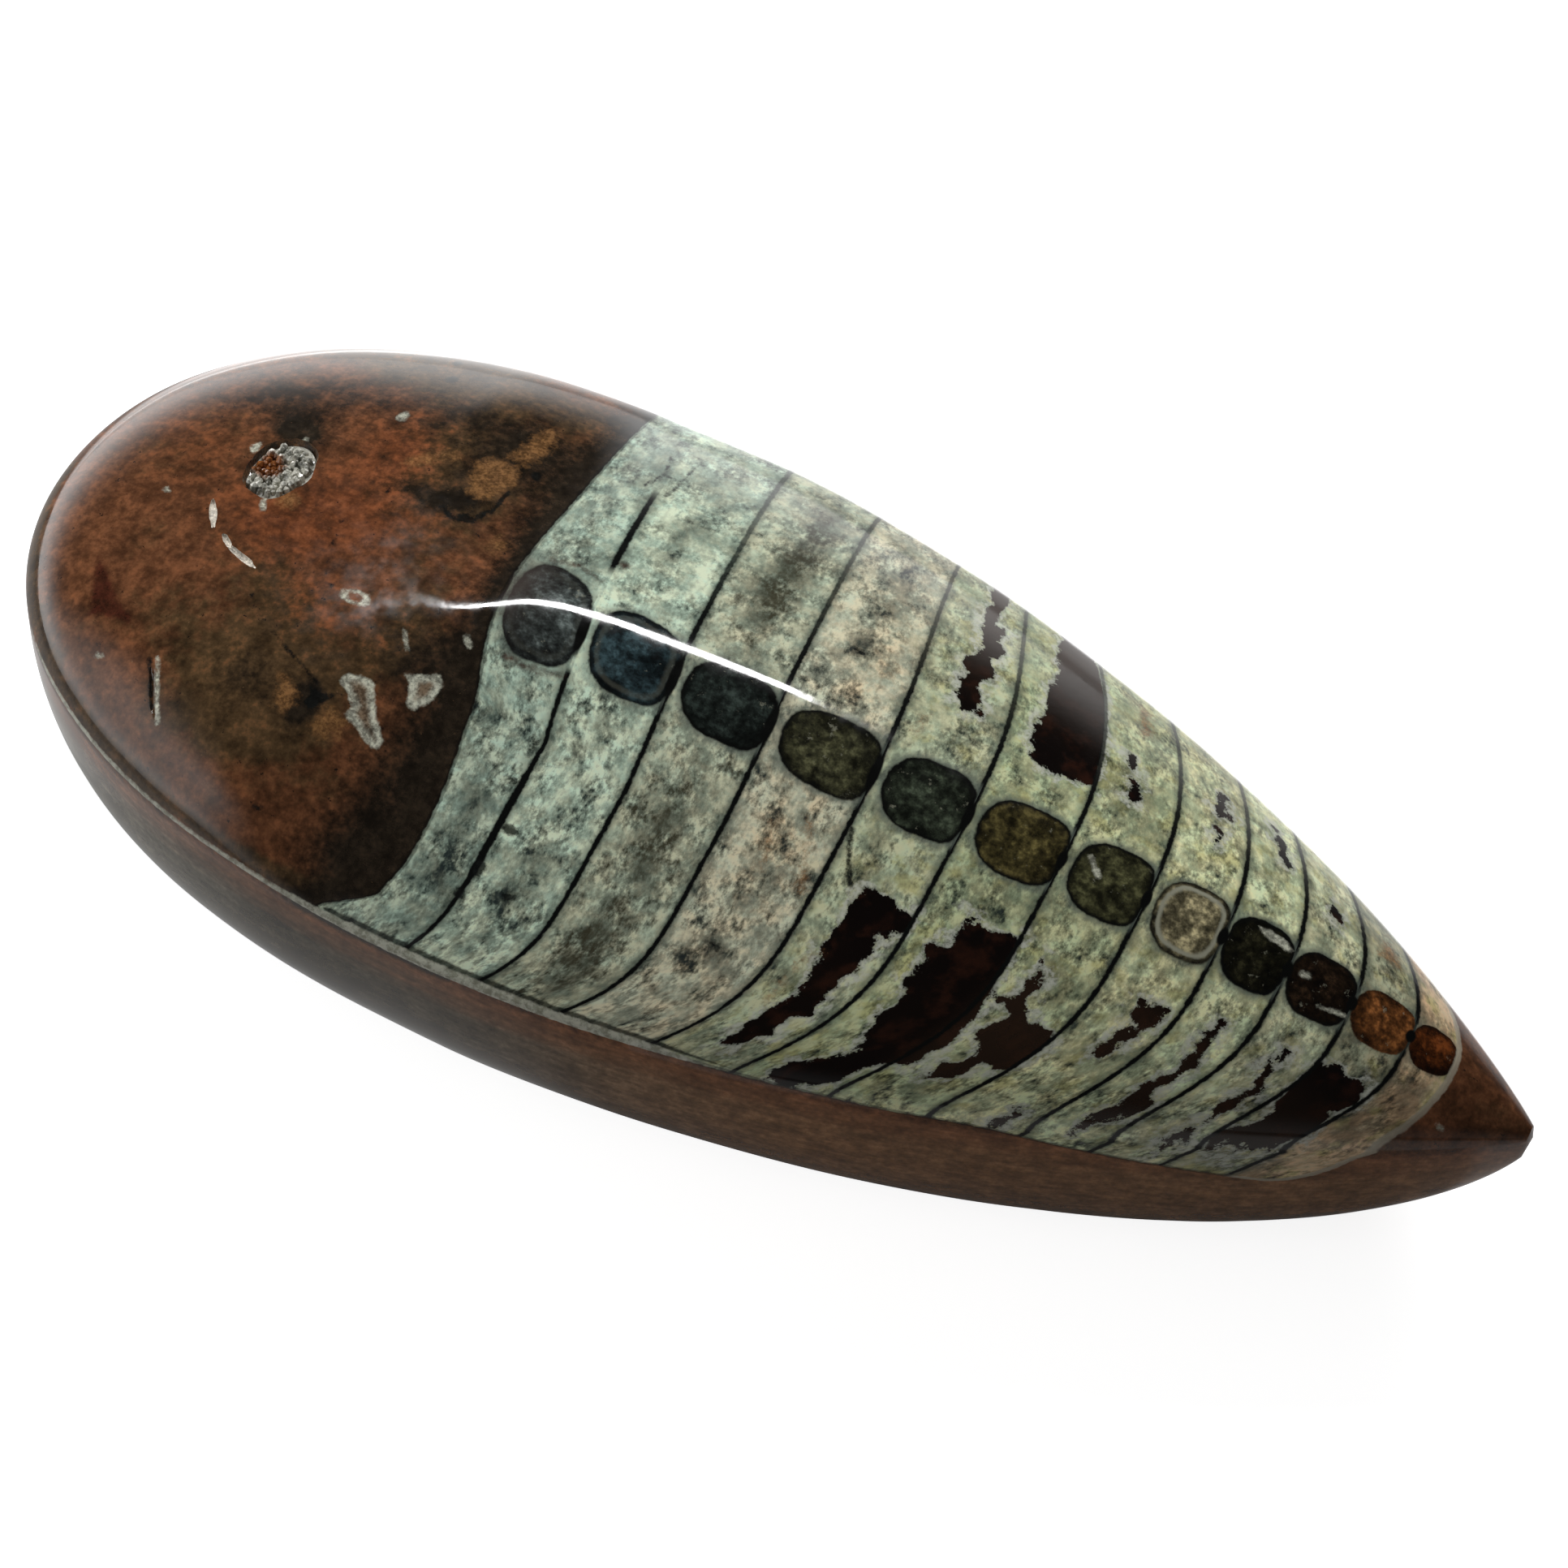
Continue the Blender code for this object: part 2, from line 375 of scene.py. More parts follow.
@dataclass(frozen=True)
class Shell:
    """The straight shell: its septa, its siphuncle of beads and its outline on the stone."""

    form: StoneForm
    septa: Numbers = (
        49.7, 57.57, 66.24, 75.57, 85.58, 94.66, 103.75, 111.86, 119.17, 125.35, 131.52, 137.16, 141.46,
    )  # fmt: skip
    bend_stations: Numbers = (50, 72, 94, 116, 141)
    axis_offsets: Numbers = (-10.6, -12.7, -7.2, -4.5, -1.1)
    near_lobe: Lobe = Lobe((0.06, 0.21, 0.35, 0.4, 0.53), (9.5, 6.3, 4.3, 3.1, 2.7))
    far_lobe: Lobe = Lobe((0.21, 0.175, 0.34, 0.42, 0.67), (0.55, 1.3, 2.4, 2.45, 2.8))
    bend_down_the_wall: float = 1.3
    mouth_offsets: Numbers = (-33, -32, -31, -30, -28, -22, -18, -15, -10.5, -7, -4, 0, 5, 12, 30)
    mouth_stations: Numbers = (
        45.2, 46.4, 48.5, 50.2, 51.2, 51.7, 51.3, 50.7, 49.8, 48.5, 47.5, 46.7, 46.3, 46.3, 46,
    )  # fmt: skip
    margin_stations: Numbers = (60, 100, 106, 113.4, 120, 131.6, 150)
    margin_drops: Numbers = (0, 0, 0.05, 1.43, 2.84, 5.1, 8.8)
    end_offsets: Numbers = (-18.5, -16.5, -14.4, -12.6, -10.4, -8.5, -6, -4, -2, 0, 2, 3.5, 5, 6.5, 8, 10)
    end_stations: Numbers = (
        130, 132.2, 134.2, 135.5, 136.8, 138.2, 140.1, 141,
        141.5, 141.6, 141.2, 140.5, 139.6, 138.4, 137, 134.8,
    )  # fmt: skip
    bead_offset: float = -2.2
    bead_bend: float = 0.00112
    bead_bend_station: float = 93.0
    bead_half_width: float = 3.62
    least_bead_half_width: float = 0.8
    bead_swell: Triple = (1.6, 75.0, -24.0)
    bead_taper: Triple = (1.5, 112.0, 28.0)
    mouth_slope: float = 0.95
    end_slope: float = 0.8
    edge_thickness: float = 0.26
    edge_thickening: float = 0.18
    edge_height: float = 0.1

    def growth(self, station: Array, offset: Array) -> Array:
        """Return the growth station, which is the same all along one septum.

        Args:
            station: Distances from the head.
            offset: Distances from the centre line.

        Returns:
            The stations where a septum through each point crosses the shell's axis.
        """
        axis = self._at_bend(station, self.axis_offsets)
        half_width = np.maximum(self.form.width(station), 1.0)
        out = np.abs(offset - axis)
        near = self._lobe(self.near_lobe, station, out / np.maximum(half_width + axis, 0.5))
        far = self._lobe(self.far_lobe, station, out / (half_width - axis))
        return station + half_width * np.where(offset < axis, near, far)

    def _at_bend(self, station: Array, values: Numbers) -> Array:
        """Return a value that changes smoothly along the shell."""
        inside = np.clip(station, self.bend_stations[0], self.bend_stations[-1])
        return smooth_through(inside, self.bend_stations, values)

    def _lobe(self, lobe: Lobe, station: Array, out: Array) -> Array:
        """Return one side's bend as a share of the half width.

        Args:
            lobe: The side's lobe.
            station: Distances from the head.
            out: Distances from the axis, as a share of the way to the edge.

        Returns:
            The bend, as a share of the half width.
        """
        bend = np.minimum(out, 1.0) ** self._at_bend(station, lobe.powers)
        bend = bend + self.bend_down_the_wall * np.clip(out - 1.0, 0.0, 3.0)
        return self._at_bend(station, lobe.bulges) * bend

    def unrolled(self, station: Array, offset: Array, height: Array) -> Array:
        """Return offsets that go on growing down the side wall, below the shoulder."""
        below = np.maximum(self.form.shoulder_height(station) - height, 0.0)
        return offset + np.where(offset < 0.0, -below, below)

    def chamber(self, growth: Array) -> Array:
        """Return the chamber coordinate, a whole number on each septum."""
        return smooth_through(growth, self.septa, tuple(range(len(self.septa))))

    def chamber_length(self, growth: Array) -> Array:
        """Return how long a chamber is at each growth station."""
        step = 0.5
        return 2.0 * step / (self.chamber(growth + step) - self.chamber(growth - step))

    def bead(self, station: Array, offset: Array) -> Array:
        """Return the distance from the siphuncle's middle line, as a share of its beads' half width.

        Args:
            station: Distances from the head.
            offset: Distances from the centre line.

        Returns:
            The distances: 1 at the beads' edges, negative on the near side.
        """
        middle = self.bead_offset + self.bead_bend * (station - self.bead_bend_station) ** 2
        half_width = self.bead_half_width + self._change(station, self.bead_swell)
        half_width = half_width - self._change(station, self.bead_taper)
        return (offset - middle) / np.maximum(half_width, self.least_bead_half_width)

    def _change(self, station: Array, change: Triple) -> Array:
        """Return a change, given as (amount, first station, length), that grows with the square."""
        amount, first, length = change
        return amount * np.maximum(0.0, (station - first) / length) ** 2

    def margin(self, station: Array) -> Array:
        """Return how far below the shoulder the shell's edge lies."""
        return smooth_through(station, self.margin_stations, self.margin_drops)

    def depth(self, station: Array, offset: Array, height: Array) -> Array:
        """Return how deep each point lies inside the shell's outline.

        Args:
            station: Distances from the head.
            offset: Distances from the centre line.
            height: Heights above the girdle.

        Returns:
            Distances that are positive inside the outline.
        """
        mouth = smooth_through(offset, self.mouth_offsets, self.mouth_stations)
        behind_mouth = self.mouth_slope * (station - mouth)
        above_margin = height - self.form.shoulder_height(station) + self.margin(station)
        unrolled = self.unrolled(station, offset, height)
        end = smooth_through(unrolled, self.end_offsets, self.end_stations)
        before_end = self.end_slope * (end - station)
        return smooth_min(smooth_min(behind_mouth, above_margin, 0.4), before_end, 0.8)

    def wall(self, station: Array, offset: Array, height: Array) -> Array:
        """Return how deep each point lies in the thin cut edge of the shell along the near shoulder.

        Args:
            station: Distances from the head.
            offset: Distances from the centre line.
            height: Heights above the girdle.

        Returns:
            Distances that are positive inside the cut edge.
        """
        thick_part = smooth_step(station, 40.0, 56.0) * (1.0 - smooth_step(station, 70.0, 92.0))
        thickness = self.edge_thickness + self.edge_thickening * thick_part
        thickness = thickness * smooth_step(station, 5.0, 12.0)
        fading = 0.6 * smooth_step(station, 76.0, 96.0) + 3.0 * (offset > 0.0)
        level = height - self.form.shoulder_height(station) + self.margin(station)
        return thickness - np.abs(level - self.edge_height) - fading


@dataclass(frozen=True)
class Patch:
    """A mark inside an outline of (station, offset) points."""

    outline: tuple[Point, ...]

    def depth(self, places: Array) -> Array:
        """Return how deep each place lies inside the outline, negative outside.

        Args:
            places: Rows of station and offset.

        Returns:
            Distances that are positive inside.
        """
        corners = np.asarray(self.outline)
        nearest = np.full(len(places), np.inf)
        inside = np.zeros(len(places), dtype=bool)
        for first, second in zip(corners, np.roll(corners, -1, axis=0)):
            nearest = np.minimum(nearest, distance_to_line(places, first, second))
            crosses = (first[1] > places[:, 1]) != (second[1] > places[:, 1])
            rise = second[1] - first[1] if second[1] != first[1] else 1e-9
            meets = first[0] + (places[:, 1] - first[1]) * (second[0] - first[0]) / rise
            inside ^= crosses & (places[:, 0] < meets)
        return np.where(inside, nearest, -nearest)


@dataclass(frozen=True)
class Streak:
    """A mark along a path of (station, offset) points."""

    path: tuple[Point, ...]
    half_width: float

    def depth(self, places: Array) -> Array:
        """Return how deep each place lies inside the streak, negative outside.

        Args:
            places: Rows of station and offset.

        Returns:
            Distances that are positive inside.
        """
        ends = [np.asarray(point) for point in self.path]
        gaps = [distance_to_line(places, first, second) for first, second in zip(ends, ends[1:])]
        return self.half_width - np.min(gaps, axis=0)


@dataclass(frozen=True)
class Spot:
    """An oval mark at a (station, offset) point."""

    centre: Point
    half_length: float
    half_breadth: float

    def depth(self, places: Array) -> Array:
        """Return how deep each place lies inside the spot, negative outside."""
        reach = oval_reach(places, self.centre, self.half_length, self.half_breadth)
        return (1.0 - reach) * min(self.half_length, self.half_breadth)


@dataclass(frozen=True)
class Ring:
    """An oval ring at a (station, offset) point."""

    centre: Point
    half_length: float
    half_breadth: float
    half_width: float

    def depth(self, places: Array) -> Array:
        """Return how deep each place lies inside the ring's line, negative outside."""
        reach = oval_reach(places, self.centre, self.half_length, self.half_breadth)
        return self.half_width - np.abs(1.0 - reach) * min(self.half_length, self.half_breadth)


@dataclass(frozen=True)
class Cloud:
    """A soft-edged stain: its middle, its half sizes along and across the stone, and its strength."""

    centre: Point
    half_length: float
    half_breadth: float
    strength: float

    def amount(self, places: Array) -> Array:
        """Return how strong the stain is at each place."""
        reach = oval_reach(places, self.centre, self.half_length, self.half_breadth)
        return self.strength * np.exp(-(reach**2))


Mark = Patch | Streak | Spot | Ring
FAR_OUTSIDE = -9.0


def distance_to_line(places: Array, first: Array, second: Array) -> Array:
    """Return each place's distance to the line between two points.

    Args:
        places: Rows of station and offset.
        first: One end of the line.
        second: Its other end.

    Returns:
        The distances.
    """
    along = second - first
    share = np.clip((places - first) @ along / max(along @ along, 1e-9), 0.0, 1.0)
    return np.linalg.norm(places - first - share[:, None] * along, axis=1)


def oval_reach(places: Array, centre: Point, half_length: float, half_breadth: float) -> Array:
    """Return how far each place is from the middle of an oval, as a share of the oval's own reach."""
    return np.linalg.norm((places - np.asarray(centre)) / np.array([half_length, half_breadth]), axis=1)


def deepest(marks: tuple[Mark, ...], places: Array, there: Array) -> Array:
    """Return how deep each place lies in the deepest of some marks, FAR_OUTSIDE where it isn't there."""
    depth = np.max([mark.depth(places) for mark in marks], axis=0, initial=FAR_OUTSIDE)
    return np.where(there, depth, FAR_OUTSIDE)


def cloud_rows(*rows: tuple[float, float, float, float, float]) -> tuple[Cloud, ...]:
    """Return clouds from rows of station, offset, half length, half breadth and strength."""
    return tuple(Cloud((station, offset), *rest) for station, offset, *rest in rows)


def gathered(clouds: tuple[Cloud, ...], places: Array) -> Array:
    """Return the strength of all clouds together at each place."""
    return np.clip(sum(cloud.amount(places) for cloud in clouds), 0.0, 1.0)


CAVITIES: tuple[Mark, ...] = (
    # Far side.
    Patch(((83.3, 28.5), (84.6, 24.5), (85.3, 21), (86.2, 18.8), (86.9, 16.5), (86.6, 14.5), (87.2, 11.5),
        (88, 9.2), (88.7, 8.6), (89.8, 8.8), (91, 8.6), (90, 9.8), (89.2, 10.8), (88.8, 12.5), (89, 14.8),
        (88.2, 16.2), (88.8, 18), (87.6, 19), (87.3, 21.5), (86.3, 21.2), (85.6, 24.5), (85, 28.5))),
    Patch(((91, 28), (91.9, 24.5), (92.8, 21.8), (93.9, 18.8), (94.3, 16), (95.1, 13), (95.5, 10),
        (96.3, 7.2), (97.8, 6.5), (99.5, 6.1), (101, 6.6), (102, 6.9), (98.4, 19), (93.4, 28))),
    Streak(((103.9, 12.7), (104.5, 11.6)), 0.32),
    Streak(((105.2, 10.2), (105.7, 9.3), (106, 8.6), (106.3, 7.8)), 0.36),
    Streak(((112.6, 14.2), (113.0, 13), (112.9, 11.8), (114.1, 11.9)), 0.4),
    Streak(((114.2, 9.2), (114.4, 8)), 0.28), Streak(((118, 14), (119.4, 12), (120.4, 10.3)), 0.32),
    Streak(((126.1, 8), (127.1, 7)), 0.42),
    # Near side.
    Patch(((90.3, -11.6), (92, -12.2), (94.3, -12.3), (93.9, -14), (92.4, -14.7), (92.4, -17),
        (91.8, -18.9), (91, -20.2), (90.7, -21.6), (90.1, -23.4), (88.6, -23.9), (87.8, -26), (86.7, -26.5),
        (85.7, -27.7), (84.2, -27.9), (85.9, -25.4), (88, -23.2), (88.9, -20.2), (88.5, -17.6),
        (89.4, -15.8), (89.1, -12.9))),
    Patch(((98.6, -10.4), (100.5, -10.8), (103.6, -10), (103.6, -14), (101.9, -20.3), (100, -22.6),
        (97.8, -23.6), (96.4, -24.6), (94.6, -26.2), (92.4, -27.4), (89.8, -28.3), (88.6, -28.4),
        (90.6, -26.8), (93, -25.6), (94.8, -24.3), (95.5, -22.5), (95.8, -20.4), (96.8, -19.3),
        (96.3, -17.4), (97, -16.2), (96.7, -14.3), (98.6, -13), (98.9, -11.6))),
    Patch(((106.3, -10.8), (106.9, -11.6), (106.6, -13.5), (106.4, -15.2), (108, -15.8), (110, -15.6),
        (109.3, -17.2), (108, -18.3), (107.2, -19.8), (105.6, -20.1), (104.2, -21.2), (103, -22.4),
        (101.2, -23.1), (102.5, -21.6), (104, -20.7), (104.7, -19.5), (104.2, -18.2), (105.4, -16.9),
        (105.6, -15.7), (104, -15.5), (105.9, -14.4), (106, -12.5))),
    Patch(((115.4, -9.8), (116.4, -10), (117.6, -9.7), (117.2, -10.9), (116.4, -11.9), (115.6, -13.3),
        (114.8, -14.6), (114.1, -15.3), (113.8, -15.1), (114.5, -13.2), (115.4, -11.8), (115.3, -10.6))),
    Streak(((109.8, -21.3), (108, -22.8)), 0.3),
    Streak(((122.4, -8.3), (121.7, -9.5), (121.8, -11), (121.2, -12.2), (120.6, -13.5),
        (119, -14.8)), 0.38),
    Patch(((119, -14.7), (119.6, -16), (118.6, -17.3), (117.3, -18.2), (115.8, -19.2), (114.6, -19.9),
        (116, -18.5), (117.2, -17.3), (118, -16.2), (118.4, -15.2))),
    Streak(((128.2, -7.4), (127.5, -8.8), (127.3, -10.9), (126.4, -11.9), (125.6, -13),
        (124.7, -14.2)), 0.32),
    Patch(((131.3, -6.2), (132.6, -5.9), (134, -6), (135.6, -5.7), (135, -7.3), (134, -8.7), (133, -10.3),
        (131.7, -11.6), (130.2, -12.9), (128.4, -13.9), (126.6, -14.7), (125.4, -15.4), (126.6, -14.2),
        (127.6, -13.3), (128.9, -12), (129.4, -11), (129.8, -9.5), (130.5, -7.7))),
    Streak(((122, -16.8), (123.8, -15.6)), 0.26),
)  # fmt: skip

DARK_MARKS: tuple[Mark, ...] = (
    # Along the broken first septum.
    Streak(((53.2, 19.4), (53.7, 22), (53.3, 25)), 0.2),
    Streak(((50.7, 19.8), (51.6, 22.3), (50.8, 25.2)), 0.24), Streak(((51.6, 22.3), (53.6, 22)), 0.16),
    Spot((58.5, -20.2), 1.1, 0.5), Spot((57.9, -24.2), 0.55, 1.1), Spot((57.4, -26.9), 0.75, 0.5),
    Spot((56.7, -16.2), 0.5, 0.45), Spot((56.8, -12.6), 0.35, 0.9), Spot((61.4, -25.4), 0.75, 0.55),
    Spot((77.9, 9.9), 0.6, 0.35), Spot((80.1, -21.9), 0.8, 0.3),
    # Specks in the head.
    Spot((27, 26.6), 0.5, 0.6), Spot((28.2, 23.6), 0.55, 0.75), Spot((37.5, -28), 0.5, 0.35),
    Spot((31.1, 6.5), 0.25, 0.65), Spot((41.7, 15.4), 0.55, 0.85),
    Streak(((36.4, 6.9), (38.3, 6.1), (39.6, 6.8), (40.6, 9), (40.7, 11.9)), 0.3),
    Spot((39.1, 6.8), 0.95, 0.6), Spot((29.2, 1.1), 0.22, 0.32), Spot((29.9, -1.6), 0.2, 0.42),
    Spot((30.5, -3.7), 0.22, 0.3), Spot((31.2, -4.9), 0.25, 0.3), Spot((32.2, -3.5), 0.32, 0.25),
    Spot((32.3, -6.2), 0.35, 0.22), Spot((33.7, 0.7), 0.32, 0.22), Spot((34.3, 0.2), 0.28, 0.2),
    Spot((26.3, -10.1), 0.25, 0.3), Streak(((30.2, -12.9), (33.6, -14.6), (36.9, -16.1)), 0.16),
    Patch(((35.9, -16.2), (37.4, -16.6), (39.6, -15.6), (37.9, -17.4), (37.4, -18.6), (36.4, -18.4),
        (36.6, -17.3))),
    Streak(((21.2, -19.4), (22.8, -22), (24, -23.8)), 0.22),
    Streak(((85.9, -7.6), (86.9, -10.2), (88.2, -12.2)), 0.26),
)  # fmt: skip

OCHRE_MARKS: tuple[Mark, ...] = (
    Patch(((30.3, 10.2), (31.6, 10), (33.4, 12), (34.9, 13.4), (34.2, 14.5), (32.4, 12.8), (30.6, 11.4))),
    Patch(((36.2, 13.8), (36.8, 10.2), (39, 9.4), (40.2, 10.6), (40.8, 13.6), (39.8, 15.6), (37.2, 15.2))),
    Patch(((38.4, 16), (40.4, 15.8), (41.2, 18.5), (40.9, 21.6), (39.5, 22.4), (38.6, 19.5))),
    Spot((43.2, 5.3), 0.9, 1.3),
    Patch(((33, -16.4), (35.3, -17), (36, -18.6), (35.2, -20), (34, -19.6), (33.7, -17.8))),
    Patch(((38.1, -18.2), (38.9, -17.2), (40.6, -17.9), (41, -19.6), (39.3, -20.6), (38.1, -19.9))),
    Streak(((82.2, -8.6), (83.3, -11), (84.7, -14.8)), 0.34), Streak(((79.4, -10), (80.4, -14)), 0.2),
    Streak(((88.5, -18.4), (87.2, -20.4), (86.2, -24)), 0.16), Spot((86.5, 4.6), 0.4, 1.1),
    Patch(((101.3, 21.5), (102.6, 21), (103.4, 18.5), (104.2, 17.2), (104, 16.4), (103.2, 16.3),
        (102, 19))),
    Patch(((131, 9.5), (132.5, 8), (134.2, 5.8), (132.6, 6.1), (131.2, 6))), Spot((23.4, 1.4), 1.2, 1.2),
)  # fmt: skip

PALE_MARKS: tuple[Mark, ...] = (
    Patch(((43.1, -11.6), (44, -12.2), (44.6, -14), (45.4, -14.3), (46.6, -12.6), (46.7, -10.8),
        (45.8, -10.1), (44.6, -10.9))),
    Patch(((38.2, -14.9), (38.6, -13.8), (39.9, -13.4), (41.1, -13.6), (41.9, -14.8), (43, -16.4),
        (44.6, -18), (44.6, -18.9), (43.3, -18.9), (41.6, -17.9), (40.2, -17.5), (40.5, -16.4),
        (39.2, -15.4))),
    Ring((35, -6.4), 1.15, 0.65, 0.2), Streak(((40.8, -7.6), (42.1, -9.3)), 0.16),
    Streak(((20.4, 2.4), (21.1, 0.9), (21.9, -0.7)), 0.26), Spot((17, 6.2), 0.45, 0.75),
    Spot((27.1, 16.1), 0.5, 0.8), Spot((20.7, 9), 0.35, 0.4), Spot((12.2, -1.8), 0.4, 0.3),
    Spot((16.3, -20.4), 0.4, 0.25), Streak(((21.9, -19.2), (23.4, -21.8), (25.1, -24.7)), 0.2),
    Streak(((46.2, -5.8), (46.8, -6.4)), 0.3), Spot((126.8, -0.6), 0.5, 0.36),
    Streak(((129, -2.4), (131.4, -1.8)), 0.14),
    Patch(((121.4, 1.2), (122.6, 1.5), (124.2, 1.3), (124.9, 0.8), (124.7, 0.4), (123.4, 0.5),
        (122.2, 0.6))),
    Streak(((105.8, -0.6), (107.2, -2)), 0.26), Spot((142.6, -4.7), 0.3, 0.2),
)  # fmt: skip

MAROON_MARKS: tuple[Mark, ...] = (
    Patch(((10.4, -11), (12.4, -12.4), (14.6, -14.6), (17, -15.8), (17.4, -16.7), (15.5, -16.7),
        (13.2, -17), (12.1, -14.8), (11.1, -12.6))),
    Spot((54.8, 8.4), 0.5, 0.55), Streak(((50.2, -5.9), (53.6, -6), (55.6, -5.4)), 0.26),
    Streak(((48.4, 5.9), (51, 6.2), (54, 5.4)), 0.18),
)  # fmt: skip

SMUDGES = cloud_rows(
    (54.4, -21, 1.5, 5.5, 0.55), (55.2, -26.5, 1.3, 3, 0.6), (50.8, -14, 1, 3, 0.4),
    (51.2, 23, 1.8, 3.2, 0.6), (49.5, 12, 1.2, 5, 0.2), (61.3, -25.5, 1.4, 2, 0.95),
    (62.3, -17, 0.9, 1.3, 0.6), (61.8, -21, 0.9, 1.8, 0.5), (57.3, 15, 1.4, 5, 0.3),
    (56.5, 26, 2.6, 3, 0.4), (70.8, -12, 1.6, 3.4, 0.6), (70.8, -20, 1.7, 5, 0.5),
    (70.2, -26, 1.7, 2.8, 0.85), (68.4, -29, 2, 1.6, 0.8), (67.6, 20, 2, 4.5, 0.65), (69, 14, 2, 8, 0.3),
    (67, 13.5, 1.8, 4, 0.6), (66.8, 26, 2.2, 2.5, 0.45), (68.6, 9, 1.3, 3, 0.4), (77.8, 10, 1.3, 1.6, 0.95),
    (77.5, 15.6, 1.1, 1.7, 0.75), (77, 23, 2.6, 3, 0.4), (79.8, -22, 1.8, 1.3, 0.95),
    (78.4, -23.6, 1, 0.9, 0.7), (80, -16.5, 1.2, 1.6, 0.4), (75.9, -13, 0.6, 2.2, 0.6),
    (92, 7, 1.5, 3, 0.25), (105.6, 8.6, 2, 3, 0.4), (107.6, -12.6, 1.6, 2, 0.45),
    (113.3, 12.6, 0.9, 2, 0.5), (130.8, -10, 1, 2, 0.5), (139, -5, 1.6, 4, 0.3), (99.5, -8, 3.4, 1.8, 0.25),
    (88, -13, 1.6, 5, 0.25), (134, -4.6, 2.2, 1.1, 0.2),
)  # fmt: skip

BLUSHES = cloud_rows(
    (80.8, 8, 2.6, 8, 0.55), (80.8, -12, 3, 7, 0.6), (79.5, -26, 2.6, 4, 0.4), (69, 6, 1.6, 2.4, 0.25),
    (139.5, 0, 2.4, 9, 0.9),
)  # fmt: skip

# Purple-grey clouds around the start of the ridge and over the first bead: partly the stone's own grey, partly
# painted sheen for the haze around the ridge's highlight.
DUSKS_AND_SHEEN = cloud_rows(
    (46.6, 1.6, 3.4, 5, 0.95), (44, -1.5, 3.2, 3.4, 0.6),
)  # fmt: skip

OLIVES = cloud_rows(
    (20.5, -14, 3.4, 3, 0.5), (34, -17, 8, 6, 0.75), (36, 9, 4, 2.6, 0.6), (31, -22, 9, 5, 0.55),
    (27, -10, 6, 4, 0.35), (33, 14, 9, 7, 0.4), (40, -8, 5, 6, 0.5), (30, 25, 14, 4, 0.9),
)  # fmt: skip

SHADES = cloud_rows(
    (18, 13, 6, 4.5, 0.6), (34, 19, 7, 4, 0.6), (43, 16, 3, 9, 0.45), (44, -9, 4.4, 4.4, 0.7),
    (47, -20, 4, 9, 0.8), (47, -29, 5, 4, 0.7), (36.5, -18, 2.6, 2, 0.75), (37, 8, 2.6, 2.4, 0.75),
    (19.8, 9.6, 2.6, 1.8, 1.0), (37.6, 12.6, 3, 3.4, 0.7), (39.4, 18.6, 2.6, 3.6, 0.7),
    (25, 17.5, 7, 2.6, 0.35), (13, 15, 6, 5, 0.3), (33.4, 7.4, 3, 1.3, 0.8), (36.4, -18.4, 1.2, 2.6, 0.8),
    (30, -18, 3, 2.4, 0.6),
)  # fmt: skip

RUSTS = cloud_rows(
    (24, -1, 7, 5, 0.9), (29, 12, 4, 5, 0.8), (30, 3, 8, 6, 0.7), (34, -9, 7, 4, 0.5), (12, 4, 5, 6, 0.4),
)  # fmt: skip


# ---- Node building.

Input = float | int | Colour | Socket


